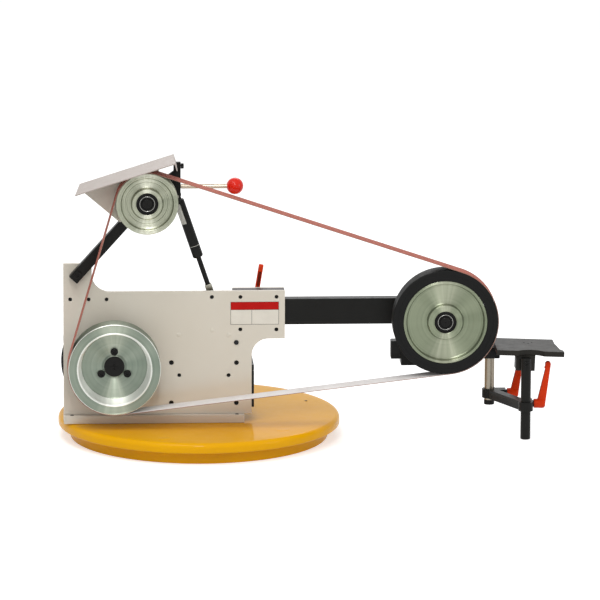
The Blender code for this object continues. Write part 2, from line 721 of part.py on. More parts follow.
def make_rest_bracket():
    """A sleeve under the arm for the rest bar, hung from a plate on the arm's rear face."""
    back = ARM_BACK + GAP + 0.006
    front = REST_BAR_FRONT - 0.006
    bottom = REST_BAR_BOTTOM - SLEEVE_WALL
    top = REST_BAR_TOP + SLEEVE_WALL
    sleeve = box("rest_bracket", (SLEEVE_LEFT, front, bottom), (SLEEVE_RIGHT, back, top), "black_steel")
    upright = box("rest_upright", (SLEEVE_LEFT, ARM_BACK + GAP, top - 0.004),
                  (SLEEVE_RIGHT, back, ARM_BOTTOM + BRACKET_OVERLAP), "black_steel")
    combine(sleeve, upright, "UNION")
    channel = box("rest_channel", (SLEEVE_LEFT - 0.01, REST_BAR_FRONT - RUNNING, REST_BAR_BOTTOM - RUNNING),
                  (SLEEVE_RIGHT + 0.01, REST_BAR_FRONT + REST_BAR_DEPTH + RUNNING, REST_BAR_TOP + RUNNING), "steel")
    return combine(sleeve, channel)


# ---------------------------------------------------------------- tool rest
def make_rest_slide():
    """The bar in the sleeve, the head at its end and the post that hangs from it."""
    back = REST_BAR_FRONT + REST_BAR_DEPTH
    bar = box("rest_bar", (REST_BAR_LEFT, REST_BAR_FRONT, REST_BAR_BOTTOM),
              (REST_BAR_RIGHT, back, REST_BAR_TOP), "black_steel", 0.0015)
    x, y = REAR_POST
    left = REST_BAR_RIGHT + GAP
    head_bottom = REST_BAR_BOTTOM
    head = box("rest_head", (left, y - HEAD_DEPTH / 2, head_bottom),
               (left + HEAD_WIDTH, y + HEAD_DEPTH / 2, head_bottom + HEAD_HEIGHT), "black_steel", 0.0015)
    depth = HEAD_HEIGHT - 0.005
    socket = rod("rest_head_socket", POST_RADIUS + GAP, -0.01, depth, (x, y, head_bottom), "up", "steel")
    combine(head, socket)
    post = rod("rest_rear_post", POST_RADIUS, REAR_POST_BOTTOM, head_bottom + depth - GAP, (x, y, 0), "up", "steel", 24)
    return [bar, head, post]


def make_link():
    """The bar between the two posts, with a bored boss and a clamp lug at each end."""
    top = LINK_BOTTOM + LINK_HEIGHT
    way = math.degrees(math.atan2(FRONT_POST[1] - REAR_POST[1], FRONT_POST[0] - REAR_POST[0]))
    neck = math.degrees(math.asin(LINK_WIDTH / 2 / LINK_BOSS))
    outline = arc(REAR_POST, LINK_BOSS, way + neck, way + 360 - neck, 20)
    outline += arc(FRONT_POST, LINK_BOSS, way + 180 + neck, way + 540 - neck, 20)
    bores = [circle(REAR_POST, POST_RADIUS + GAP, 24), circle(FRONT_POST, POST_RADIUS + GAP, 24)]
    link = flat("rest_link", outline, LINK_BOTTOM, top, "black_steel", plane="XY", holes=bores)
    rear_root = REAR_POST[0] + POST_RADIUS + 0.001
    for name, root, face, y in (
        ("rear", rear_root, REAR_LUG_FACE, REAR_POST[1]), ("front", FRONT_POST[0] - 0.010, FRONT_LUG_FACE, FRONT_LUG_Y),
    ):
        lug = box(f"link_lug_{name}", (root, y - LUG_WIDTH / 2, LINK_BOTTOM + LUG_STEP),
                  (face, y + LUG_WIDTH / 2, top - LUG_STEP), "steel")
        combine(link, lug, "UNION")
        spot = (face, y, LINK_BOTTOM + LINK_HEIGHT / 2)
        hole = rod(f"link_stud_hole_{name}", LEVER_STUD + GAP, -0.0055, 0.01, spot, "right", "steel", 16)
        combine(link, hole)
    return link


def rest_outline():
    """The tool rest in plan, with a round notch in its near edge and a slanted right end."""
    notch_radius = (REST_NOTCH_HALF ** 2 + REST_NOTCH ** 2) / (2 * REST_NOTCH)
    half_angle = math.degrees(math.asin(REST_NOTCH_HALF / notch_radius))
    centre = (REST_NOTCH_X, REST_NEAR + REST_NOTCH - notch_radius)
    outline = [(REST_LEFT, REST_FAR), (REST_LEFT, REST_NEAR)]
    outline += arc(centre, notch_radius, 90 + half_angle, 90 - half_angle, 10)
    outline += [(REST_RIGHT, REST_NEAR), (REST_RIGHT - 0.001, REST_NEAR + 0.016)]
    reach = REST_FAR - REST_NEAR
    outline += [(REST_RIGHT - 0.006, REST_NEAR + 0.22 * reach), (REST_RIGHT - 0.009, REST_NEAR + 0.45 * reach)]
    outline += [(REST_RIGHT - REST_CORNER, REST_NEAR + 0.7 * reach), (REST_RIGHT - REST_CORNER, REST_FAR)]
    return outline


def make_rest_top():
    """The rest plate on its block, tilted together about the screw through the front post."""
    x, y = FRONT_POST
    bottom = REST_TOP - REST_THICKNESS
    table = flat("tool_rest", rest_outline(), bottom, REST_TOP, "black_steel", plane="XY")
    front = y + POST_RADIUS + GAP
    block_top = bottom - GAP
    block = box("rest_block", (x - BLOCK_WIDTH / 2, front, block_top - BLOCK_HEIGHT),
                (x + BLOCK_WIDTH / 2, front + BLOCK_DEPTH, block_top), "black_steel", 0.001)
    hole = rod("tilt_hole", TILT_SCREW + GAP, -0.05, 0.012, (x, front, TILT_HEIGHT), "back", "steel", 16)
    combine(block, hole)
    return [table, block], (hole,)


def make_front_post():
    x, y = FRONT_POST
    bottom = REST_TOP - REST_THICKNESS
    post = rod("rest_front_post", POST_RADIUS, FRONT_POST_BOTTOM, bottom - 0.004, (x, y, 0), "up", "black_steel", 24)
    hole = rod("post_screw_hole", TILT_SCREW + GAP, -0.03, 0.03, (x, y, TILT_HEIGHT), "back", "steel", 16)
    combine(post, hole)
    seat = POST_RADIUS + GAP
    profile = [
        (0, 0.011 + POST_RADIUS), (TILT_SCREW, 0.011 + POST_RADIUS), (TILT_SCREW, -seat), (TILT_SCREW_HEAD, -seat),
        (TILT_SCREW_HEAD, -seat - 0.003), (0, -seat - 0.003),
    ]
    screw = turned("tilt_screw", profile, (x, y, TILT_HEIGHT), "back", "black_steel", 16)
    return [post, screw]


# ---------------------------------------------------------------- tension arm
def hood_point(along, above):
    """A point in the hood's frame: along its slope and above the tracking wheel's centre."""
    cos, sin = math.cos(HOOD_TILT), math.sin(HOOD_TILT)
    return (TRACKING_CENTRE[0] + along * cos - above * sin, TRACKING_CENTRE[1] + along * sin + above * cos)


def make_hood():
    """A folded sheet over the tracking wheel and the cheek that carries it."""
    under = TRACKING_RADIUS + GAP + BELT_THICKNESS + HOOD_CLEARANCE
    over = under + HOOD_SHEET
    outline = [
        (-HOOD_LEFT, under), (HOOD_RIGHT - HOOD_SHEET, under), (HOOD_RIGHT - HOOD_SHEET, under - HOOD_LIP),
        (HOOD_RIGHT, under - HOOD_LIP), (HOOD_RIGHT, over), (-HOOD_LEFT, over),
    ]
    front = WHEEL_FRONT - HOOD_FRONT
    back = BRACKET_FRONT - GAP
    hood = flat("hood", [hood_point(*p) for p in outline], front, back, "beige_paint")
    left_end = hood_point(-HOOD_LEFT, under)[0] + 0.005
    for vertex in hood.data.vertices:
        spot = hood.matrix_world @ vertex.co
        if spot.x < left_end and spot.y > (front + back) / 2:
            vertex.co.x += HOOD_SKEW * math.cos(HOOD_TILT)
            vertex.co.y += HOOD_SKEW * math.sin(HOOD_TILT)
    cheek_top = under - GAP
    cheek = [(-0.116, cheek_top), (-0.0616, -0.0255), (0.012, -0.020), (0.045, cheek_top)]
    hole = circle(TRACKING_CENTRE, 0.006 + GAP)
    cheek_back = BAR_FRONT - GAP
    side = flat("hood_cheek", [hood_point(*p) for p in cheek], cheek_back - HOOD_SHEET, cheek_back,
                "beige_paint", holes=[hole])
    return [hood, side]


def make_tension_bar():
    """The square bar from its pivot on the plate's tab to the tracking wheel's axle."""
    slope = math.atan2(TRACKING_CENTRE[1] - PIVOT[1], TRACKING_CENTRE[0] - PIVOT[0])
    span = math.hypot(TRACKING_CENTRE[0] - PIVOT[0], TRACKING_CENTRE[1] - PIVOT[1])
    bar = box("tension_bar", (-BAR_OVERHANG, BAR_FRONT, -BAR_SIDE / 2),
              (span + BAR_OVERHANG, BAR_BACK, BAR_SIDE / 2), "black_steel", 0.001)
    turn = Matrix.Translation(at(PIVOT)) @ Matrix.Rotation(-slope, 4, "Y")
    bar.matrix_world = turn @ Matrix.Translation(bar.location)
    for name, centre, radius in (("pivot", PIVOT, PIVOT_RADIUS), ("axle", TRACKING_CENTRE, 0.006)):
        hole = rod(f"bar_hole_{name}", radius + GAP, -0.05, 0.05, at(centre, BAR_BACK), "back", "steel", 16)
        combine(bar, hole)
    return bar


def make_pivot():
    """The bolt that carries the tension bar on the plate, and the washer between them."""
    head = BAR_FRONT - GAP
    profile = [
        (0, PLATE_BACK + 0.010), (PIVOT_RADIUS, PLATE_BACK + 0.010), (PIVOT_RADIUS, head), (0.0075, head),
        (0.0075, head - 0.003), (0, head - 0.003),
    ]
    bolt = turned("pivot_bolt", profile, at(PIVOT), "back", "black_steel", 16)
    washer = ring("pivot_washer", 0.010, PIVOT_RADIUS + GAP, BAR_BACK + GAP, PLATE_FRONT - GAP,
                  at(PIVOT), "back", "steel", FINE)
    return [bolt, washer]


def make_lever_bracket():
    """The plate behind the bar's end that carries the tension handle and the gas spring."""
    outline = [
        (BRACKET_RIGHT, BRACKET_BOTTOM), (BRACKET_RIGHT, BRACKET_TOP), (BRACKET_LEFT, BRACKET_TOP),
        (BRACKET_LEFT, 0.532), (-0.066, 0.522), (-0.110, 0.498), (-0.118, 0.470), (-0.060, 0.470),
        (BRACKET_LEFT, BRACKET_BOTTOM),
    ]
    axle_hole = circle(TRACKING_CENTRE, 0.006 + GAP, 16)
    stud_hole = circle(GAS_TOP, GAS_STUD + GAP, 16)
    back = BRACKET_FRONT + BRACKET_THICKNESS
    plate = flat("lever_bracket", outline, BRACKET_FRONT, back, "black_steel", holes=[axle_hole, stud_hole])
    middle = (BRACKET_FRONT + back) / 2
    root = BRACKET_RIGHT - 0.008
    seat = rod("handle_seat", 0.003 + GAP, -0.008, 0.01, (BRACKET_RIGHT, middle, HANDLE_HEIGHT), "right", "steel", 16)
    combine(plate, seat)
    ball_root = HANDLE_END - 0.8 * BALL_RADIUS - root
    neck = 0.008 + GAP
    profile = [
        (0, ball_root), (HANDLE_ROD, ball_root), (HANDLE_ROD, neck), (0.003, neck), (0.003, GAP), (0, GAP),
    ]
    handle = turned("tension_handle", profile, (root, middle, HANDLE_HEIGHT), "right", "steel", FINE)
    ball = make_ball((HANDLE_END, middle, HANDLE_HEIGHT), HANDLE_ROD)
    screw_spot = (BRACKET_RIGHT, middle, TRACKING_SCREW_HEIGHT)
    screw = turned("tracking_screw", [
        (0, 0.006), (0.004, 0.006), (0.005, 0.005), (0.005, GAP), (0, GAP),
    ], screw_spot, "right", "black_steel", 16)
    stud_end = GAS_Y + 0.007
    stud = rod("gas_top_stud", GAS_STUD, BRACKET_FRONT + 0.001, stud_end, at(GAS_TOP), "back", "steel", 16)
    return [plate, handle, ball, stud], screw


def make_ball(centre, bore):
    """A round knob, bored from the left for its rod."""
    mesh = bpy.data.meshes.new("ball_knob")
    shape = bmesh.new()
    bmesh.ops.create_uvsphere(shape, u_segments=24, v_segments=16, radius=BALL_RADIUS)
    shape.to_mesh(mesh)
    shape.free()
    ball = add_object("ball_knob", mesh, "red_plastic")
    ball.location = centre
    hole = rod("ball_hole", bore + GAP, -2 * BALL_RADIUS, -0.8 * BALL_RADIUS + GAP, centre, "right", "steel", 16)
    return combine(ball, hole)


# ---------------------------------------------------------------- gas spring
def along_spring():
    """The frame at the spring's top pivot, its X axis pointing down the spring."""
    line = at(GAS_BOTTOM) - at(GAS_TOP)
    slope = math.atan2(line.z, line.x)
    return Matrix.Translation(at(GAS_TOP, GAS_Y)) @ Matrix.Rotation(-slope, 4, "Y")


def spring_piece(name, profile, eye_at, eye_hole, finish):
    """A turned piece on the spring's line, joined to the eye that its stud goes through."""
    frame = along_spring()
    piece = turned(name, profile, (0, 0, 0), "right", finish, FINE)
    piece.matrix_world = frame @ piece.matrix_world
    half = 0.0045
    eye = rod(name + "_eye", GAS_EYE, -half, half, (0, 0, 0), "back", "steel", 16)
    eye.matrix_world = frame @ Matrix.Translation((eye_at, 0, 0)) @ eye.matrix_world
    combine(piece, eye, "UNION")
    hole = rod(name + "_hole", eye_hole, -0.02, 0.02, (0, 0, 0), "back", "steel", 16)
    hole.matrix_world = frame @ Matrix.Translation((eye_at, 0, 0)) @ hole.matrix_world
    return combine(piece, hole)


def make_gas_spring():
    length = (at(GAS_BOTTOM) - at(GAS_TOP)).length
    bore = GAS_ROD + RUNNING
    start, end = GAS_CYLINDER_START, GAS_CYLINDER_END
    deep = start + 0.020
    profile = [
        (0, deep), (bore, deep), (bore, end), (GAS_RADIUS, end), (GAS_RADIUS, start), (0.006, start - 0.002),
        (0.006, 0.002), (0, 0.002),
    ]
    cylinder = spring_piece("gas_spring_cylinder", profile, 0, GAS_STUD + GAP, "black_steel")
    profile = [
        (0, length - 0.002), (0.005, length - 0.002), (GAS_FITTING, length - 0.008),
        (GAS_FITTING, GAS_FITTING_START), (GAS_ROD, GAS_FITTING_START), (GAS_ROD, GAS_ROD_START),
        (0, GAS_ROD_START),
    ]
    piston = spring_piece("gas_spring_rod", profile, length, GAS_STUD + GAS_OPEN_CLEARANCE, "steel")
    front = PLATE_FRONT + 0.001
    profile = [
        (0, GAS_Y + 0.011), (0.0065, GAS_Y + 0.011), (0.0065, GAS_Y + 0.008), (GAS_STUD, GAS_Y + 0.008),
        (GAS_STUD, front), (0, front),
    ]
    stud = turned("gas_lower_stud", profile, at(GAS_BOTTOM), "back", "steel", 16)
    return cylinder, piston, stud


# ---------------------------------------------------------------- assembly
clear_scene()
parts = new_collection("belt_grinder")
cutters = new_collection("cutters")

make_base()
turntable = body_of("turntable_axis", (0, 0, 0), make_turntable())
box_pieces, (stop_button, start_button) = make_control_box()
cylinder, piston, lower_stud = make_gas_spring()
frame_pieces = [
    *make_plate(), make_gusset("gusset_left", PLATE_LEFT + 0.008, 0.104),
    make_gusset("gusset_middle", -0.048, 0.190), *make_receiver(), *make_motor(), *box_pieces,
    *make_pivot(), lower_stud, make_belt(),
]
body_of("frame_axis", (0, 0, 0), frame_pieces, turntable)
body_of("stop_button_axis", stop_button.location, [stop_button], turntable)
body_of("start_button_axis", start_button.location, [start_button], turntable)
body_of("drive_axis", at(DRIVE_CENTRE, WHEEL_MIDDLE), [*make_drive_wheel(), make_rotor()], turntable)

arm_axis = body_of("arm_axis", at((RECEIVER_LEFT, ARM_MIDDLE), ARM_FRONT), make_arm(), turntable)
body_of("contact_wheel_axis", at(CONTACT_CENTRE, WHEEL_MIDDLE), make_contact_wheel(), arm_axis)
OUT = Vector((0, 1, 0))
lock_origin = Vector((LOCK_X, RECEIVER_FACE + RECEIVER_BACK, ARM_MIDDLE))
lock_up = Vector((math.sin(math.radians(10)), 0, math.cos(math.radians(10))))
lock_pieces = [
    make_lever("arm_lock_lever", lock_origin, OUT, lock_up, LOCK_STUD, RECEIVER_BACK + RUNNING - GAP),
]
body_of("arm_lock_axis", lock_origin, lock_pieces, turntable)

rest_slide = body_of("rest_slide_axis", (REST_BAR_LEFT, REST_BAR_FRONT, REST_BAR_BOTTOM), make_rest_slide(), arm_axis)
rest_link = body_of("rest_link_axis", (*REAR_POST, LINK_BOTTOM), [make_link()], rest_slide)
RIGHT = Vector((1, 0, 0))
UP = Vector((0, 0, 1))
lug_height = LINK_BOTTOM + LINK_HEIGHT / 2
for lever_name, face, y in (("rear", REAR_LUG_FACE, REAR_POST[1]), ("front", FRONT_LUG_FACE, FRONT_LUG_Y)):
    hub = Vector((face + LEVER_COLLAR, y, lug_height))
    lever = make_lever(f"rest_lever_{lever_name}", hub, RIGHT, UP, LEVER_STUD, LEVER_COLLAR + 0.005)
    body_of(f"rest_lever_{lever_name}_axis", hub, [lever], rest_link)
front_post = body_of("front_post_axis", (*FRONT_POST, LINK_BOTTOM), make_front_post(), rest_link)
top_pieces, tilted_cutters = make_rest_top()
tilt_axis = body_of("tilt_axis", (FRONT_POST[0], FRONT_POST[1], TILT_HEIGHT), top_pieces, front_post)
for cutter in tilted_cutters:
    cutter.parent = tilt_axis
    cutter.matrix_parent_inverse = tilt_axis.matrix_world.inverted()
tilt_axis.rotation_euler.y = REST_TILT

bracket_pieces, tracking_screw = make_lever_bracket()
tension_pieces = [
    make_tension_bar(), *make_hood(), *bracket_pieces,
    make_axle("tracking_axle", TRACKING_CENTRE, BAR_FRONT - GAP - HOOD_SHEET, 0.006, BRACKET_FRONT + BRACKET_THICKNESS + 0.004),
]
tension = body_of("tension_axis", at(PIVOT, BAR_BACK), tension_pieces, turntable)
body_of("tracking_screw_axis", tracking_screw.location, [tracking_screw], tension)
body_of("tracking_wheel_axis", at(TRACKING_CENTRE, WHEEL_MIDDLE), make_tracking_wheel(), tension)
spring_body = body_of("gas_spring_axis", at(GAS_TOP, GAS_Y), [cylinder], tension)
body_of("gas_rod_axis", at(GAS_BOTTOM, GAS_Y), [piston], spring_body)
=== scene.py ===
# %% [markdown]
# # A three-wheel belt grinder on a swivel base
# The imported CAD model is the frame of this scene: it gives every sub-part's place in metres, +Z up, with
# the wheels facing -Y. This script keeps those places and gives each sub-part the surface that the workshop
# gave it: turned aluminium, powder coat, enamel, rubber, grit. First the frame is loaded and its box is
# kept.

# %% Load the frame
import json
import math

import bmesh
import bpy
from mathutils import Matrix, Vector

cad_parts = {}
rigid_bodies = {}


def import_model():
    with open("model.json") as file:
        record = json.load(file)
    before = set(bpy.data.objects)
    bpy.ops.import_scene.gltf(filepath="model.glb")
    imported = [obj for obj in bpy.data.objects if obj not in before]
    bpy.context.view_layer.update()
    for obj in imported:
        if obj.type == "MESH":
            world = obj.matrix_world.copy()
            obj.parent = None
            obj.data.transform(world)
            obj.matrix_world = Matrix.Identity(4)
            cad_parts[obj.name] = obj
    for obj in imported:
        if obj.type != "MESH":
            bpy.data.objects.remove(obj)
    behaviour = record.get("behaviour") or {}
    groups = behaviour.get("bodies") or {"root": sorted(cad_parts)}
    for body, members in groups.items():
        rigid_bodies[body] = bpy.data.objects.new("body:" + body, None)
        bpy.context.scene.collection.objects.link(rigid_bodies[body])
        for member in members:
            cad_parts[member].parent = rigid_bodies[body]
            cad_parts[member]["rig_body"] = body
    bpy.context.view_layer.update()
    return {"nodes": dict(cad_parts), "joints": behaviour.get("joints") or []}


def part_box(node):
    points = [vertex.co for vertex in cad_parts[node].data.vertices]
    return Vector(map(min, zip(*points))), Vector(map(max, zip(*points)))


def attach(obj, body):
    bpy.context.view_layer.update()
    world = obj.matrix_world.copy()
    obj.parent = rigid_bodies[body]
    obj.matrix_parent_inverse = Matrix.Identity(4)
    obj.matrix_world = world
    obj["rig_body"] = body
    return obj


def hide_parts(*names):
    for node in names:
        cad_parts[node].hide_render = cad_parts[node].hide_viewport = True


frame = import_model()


def middle_of(node):
    low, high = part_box(node)
    return (low + high) / 2


def radius_of(node):
    """Half the node's width: the radius of a part that is round about Y or Z."""
    low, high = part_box(node)
    return (high.x - low.x) / 2


def front_of(node):
    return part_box(node)[0].y


# %% [markdown]
# ## The camera and the light
# A long lens from eleven metres keeps the wheels nearly round, as in a catalogue picture. The light is a
# white tent: a bright world and four softboxes, one above, a narrow strip in front, a weak one on the right
# and one behind. The world and the floor are pure white to the camera and in reflections, and dimmer as
# light, so that paint keeps its colour.

# %% Camera
def new_object(name, data):
    """An object of that data, in the scene."""
    made = bpy.data.objects.new(name, data)
    bpy.context.scene.collection.objects.link(made)
    return made


lens = bpy.data.cameras.new("catalogue_lens")
lens.lens = 360  # focal length in mm
lens.sensor_width = 36
lens.clip_end = 100
camera = new_object("catalogue_camera", lens)
bpy.context.scene.camera = camera

YAW, PITCH, ROLL = (math.radians(angle) for angle in (3.148, 11.963, -0.2447))
CAMERA_SPOT = (-0.4241, -11.2298, 2.6447)
view = Vector((math.sin(YAW) * math.cos(PITCH), math.cos(YAW) * math.cos(PITCH), -math.sin(PITCH)))
level = view.cross(Vector((0, 0, 1))).normalized()
downward = view.cross(level).normalized()
right = math.cos(ROLL) * level + math.sin(ROLL) * downward
placing = Matrix((right, right.cross(view).normalized(), -view)).transposed().to_4x4()
placing.translation = CAMERA_SPOT
camera.matrix_world = placing
print("camera looks along", [round(part, 3) for part in view])

# %% World and lamps
bpy.context.scene.view_settings.view_transform = "Standard"


def add_node(tree, kind, inputs=None, **settings):
    """Adds a node, gives it its settings, and sets or links its inputs."""
    node = tree.nodes.new("ShaderNode" + kind)
    for name, value in settings.items():
        setattr(node, name, value)
    for socket, value in (inputs or {}).items():
        if isinstance(value, bpy.types.NodeSocket):
            tree.links.new(value, node.inputs[socket])
        else:
            node.inputs[socket].default_value = value
    return node


def calculate(tree, operation, *values, kind="Math", output=0):
    """One step of arithmetic on numbers or sockets; kind VectorMath does it on vectors."""
    return add_node(tree, kind, dict(enumerate(values)), operation=operation).outputs[output]


def seen_directly(tree):
    """1 for the camera and for what metal and glass show, 0 for light that falls on a matt surface."""
    rays = add_node(tree, "LightPath")
    shown = calculate(tree, "MAXIMUM", rays.outputs["Is Camera Ray"], rays.outputs["Is Glossy Ray"])
    return calculate(tree, "MAXIMUM", shown, rays.outputs["Is Transmission Ray"])


AMBIENT = 0.62  # strength of the world as light; the camera sees 1, which is white
FLOOR_GLOW = 0.52  # what the floor adds to its own reflection to look white
world = bpy.data.worlds.new("white_tent")
bpy.context.scene.world = world
world.use_nodes = True
world.node_tree.nodes.clear()
tent = world.node_tree
strength = add_node(tent, "MapRange", {"Value": seen_directly(tent), "To Min": AMBIENT, "To Max": 1.0})
glow = add_node(tent, "Background", {"Color": (1, 1, 1, 1), "Strength": strength.outputs[0]})
add_node(tent, "OutputWorld", {"Surface": glow.outputs[0]})


def add_softbox(name, spot, aim, width, height, power):
    """A rectangular lamp at spot that shines at aim; power in watts."""
    lamp = bpy.data.lights.new(name, "AREA")
    lamp.shape = "RECTANGLE"
    lamp.size = width
    lamp.size_y = height
    lamp.energy = power
    holder = new_object(name, lamp)
    holder.location = spot
    holder.rotation_euler = (Vector(aim) - Vector(spot)).to_track_quat("-Z", "Y").to_euler()


MIDDLE = (0.15, -0.05, 0.25)
add_softbox("softbox_above", (-0.6, -1.2, 2.6), MIDDLE, 1.6, 1.0, 24)
add_softbox("strip_in_front", (-0.1, -2.5, 2.0), MIDDLE, 0.35, 1.2, 16)
add_softbox("softbox_right", (2.4, -1.4, 1.2), MIDDLE, 0.7, 1.4, 8)
add_softbox("softbox_behind", (0.2, 2.2, 1.8), MIDDLE, 1.6, 0.8, 16)

# %% Floor
floor_mesh = bpy.data.meshes.new("floor")
shape = bmesh.new()
bmesh.ops.create_grid(shape, x_segments=1, y_segments=1, size=30)
shape.to_mesh(floor_mesh)
shape.free()
floor = new_object("floor", floor_mesh)
paper = bpy.data.materials.new("white backdrop paper")
paper.use_nodes = True
tree = paper.node_tree
tree.nodes.clear()
matt = add_node(tree, "BsdfDiffuse", {"Color": (0.8, 0.8, 0.8, 1)})
lit = add_node(tree, "Emission", {"Color": (1, 1, 1, 1), "Strength": FLOOR_GLOW})
both = add_node(tree, "AddShader", {0: matt.outputs[0], 1: lit.outputs[0]})
mix = add_node(tree, "MixShader", {0: seen_directly(tree), 1: matt.outputs[0], 2: both.outputs[0]})
add_node(tree, "OutputMaterial", {"Surface": mix.outputs[0]})
floor_mesh.materials.append(paper)

# %% [markdown]
# ## Finishes
# Each finish is a material with the detail that its making leaves: rings on turned metal, orange peel in
# sprayed enamel, fine texture in powder coat. Patterns read Object coordinates. Every object sits at the
# origin, so those are the machine's own metres, and a Mapping node centres a pattern where a wheel has its
# axis.

# %% Colour and a new finish
def srgb(code):
    """An sRGB hex colour as the linear RGBA that Blender's sockets take."""
    parts = [int(code[index:index + 2], 16) / 255 for index in (1, 3, 5)]
    return (*(part / 12.92 if part <= 0.04045 else ((part + 0.055) / 1.055) ** 2.4 for part in parts), 1)


def new_finish(name, colour, roughness, metallic=0.0, **constants):
    """A Principled material; constants such as Coat_Weight are set on the shader's own sockets."""
    material = bpy.data.materials.new(name)
    material.use_nodes = True
    material.diffuse_color = srgb(colour)
    shader = material.node_tree.nodes["Principled BSDF"]
    shader.inputs["Base Color"].default_value = srgb(colour)
    shader.inputs["Roughness"].default_value = roughness
    shader.inputs["Metallic"].default_value = metallic
    for socket, value in constants.items():
        shader.inputs[socket.replace("_", " ")].default_value = value
    return material, material.node_tree, shader


def placed(tree, centre=(0, 0, 0), turn=(0, 0, 0), stretch=(1, 1, 1)):
    """Object coordinates moved so that centre is the origin, turned, and stretched."""
    spot = add_node(tree, "TexCoord").outputs["Object"]
    moved = calculate(tree, "SUBTRACT", spot, centre, kind="VectorMath")
    return add_node(tree, "Mapping", {"Vector": moved, "Rotation": turn, "Scale": stretch}).outputs[0]


def noise(tree, where, size, detail=2.0, roughness=0.5):
    """Cloudy noise whose blotches are about size metres across."""
    made = add_node(tree, "TexNoise", {"Vector": where, "Scale": 1 / size, "Detail": detail,
                                       "Roughness": roughness})
    return made.outputs["Fac"]


def spread(tree, value, low, high, start=0.3, end=0.7):
    """Maps a noise's middle range to the values from low to high."""
    return add_node(tree, "MapRange", {"Value": value, "From Min": start, "From Max": end,
                                       "To Min": low, "To Max": high}).outputs[0]


def tint(tree, share, first, second):
    """Mixes two sRGB colours by share."""
    mixed = add_node(tree, "Mix", data_type="RGBA")
    tree.links.new(share, mixed.inputs["Factor"])
    mixed.inputs["A"].default_value = srgb(first)
    mixed.inputs["B"].default_value = srgb(second)
    return mixed.outputs["Result"]


def relief(tree, shader, height, depth):
    """Bumps a surface by height, depth metres deep."""
    made = add_node(tree, "Bump", {"Height": height, "Distance": depth, "Strength": 1.0})
    tree.links.new(made.outputs[0], shader.inputs["Normal"])


# %% [markdown]
# ### Sprayed and baked coats
# The turntable is sprayed with a thick gloss enamel, which dries with a slight orange peel and mirrors
# whatever stands on it: a clear coat over a coloured base gives that. The beige plate and the black steel
# are powder coated. Powder melts into a fine pebbled skin, so it is rougher and its highlight is broad.

# %% Enamel and powder coats
def coated(name, colour, other, roughness, peel, depth, cloud=0.12, **constants):
    """A coat whose colour drifts a little between two tones and whose skin has a peel of a given size."""
    material, tree, shader = new_finish(name, colour, roughness, **constants)
    where = placed(tree)
    drift = spread(tree, noise(tree, where, cloud, 3), 0, 1)
    tree.links.new(tint(tree, drift, colour, other), shader.inputs["Base Color"])
    rub = spread(tree, noise(tree, where, 0.02, 4, 0.65), roughness * 0.88, roughness * 1.15)
    tree.links.new(rub, shader.inputs["Roughness"])
    relief(tree, shader, noise(tree, where, peel, 2), depth)
    return material


YELLOW_ENAMEL = coated("yellow gloss enamel", "#E6A800", "#E0A100", 0.35, 0.006, 0.00003,
                       Specular_IOR_Level=0.03, Coat_Weight=0.35, Coat_IOR=1.3, Coat_Roughness=0.04)
BEIGE_COAT = coated("beige powder coat", "#D1CBBE", "#CDC6B8", 0.42, 0.0014, 0.00003, Specular_IOR_Level=0.3)
# The hood has the plate's beige coat, drawn darker and pinker as painted shade on the hood.
SHADED_HOOD_COAT = coated("beige powder coat on the hood", "#A79C95", "#A2978F", 0.40, 0.0014, 0.00003,
                   Specular_IOR_Level=0.3)
BLACK_COAT = coated("black powder coat", "#161614", "#11110F", 0.38, 0.0012, 0.00004, cloud=0.05,
                    Specular_IOR_Level=0.14)
BLACK_FITTING = coated("black oxide on steel", "#0E0E0D", "#141311", 0.30, 0.0008, 0.00003, cloud=0.01,
                       Specular_IOR_Level=0.14)
GREY_COAT = coated("grey coat on the receiver", "#4C4648", "#443F40", 0.40, 0.0012, 0.00003, cloud=0.03,
                   Specular_IOR_Level=0.12)
MOTOR_ENAMEL = coated("charcoal motor enamel", "#1C1D20", "#161719", 0.45, 0.004, 0.00008, cloud=0.05,
                      Specular_IOR_Level=0.25)
REST_COAT = coated("bronze-black finish of the rest", "#24221D", "#1E1C18", 0.42, 0.0010, 0.00003, cloud=0.03,
                   Specular_IOR_Level=0.17)
ORANGE_COAT = coated("orange powder coat on die casting", "#D43A0C", "#CA3208", 0.36, 0.0012, 0.00005,
                     cloud=0.02, Specular_IOR_Level=0.12)

# %% [markdown]
# ### Turned aluminium
# A lathe leaves fine concentric rings. Rings closer than the eye can see stretch every highlight across
# them, so the face shows bright fans from the middle to the rim. Real feed marks are about 0.1 mm apart;
# here they are drawn at 0.8 mm so that they show. The shader's anisotropy, turned round the wheel's axis,
# makes part of the fans. The rest is painted into the base colour: a painted highlight above and below the
# axis, and painted light and dark sectors round it. The drive wheel keeps the slight green of its anodising.

# %% Turned aluminium
FEED = 0.0008  # metres between rings; the real feed is about an eighth of it
RING_DEPTH = 0.000004
STRETCH = 0.85  # of a highlight across the rings
WAVE = 0.314  # a Wave texture repeats every 0.314 units of scaled distance


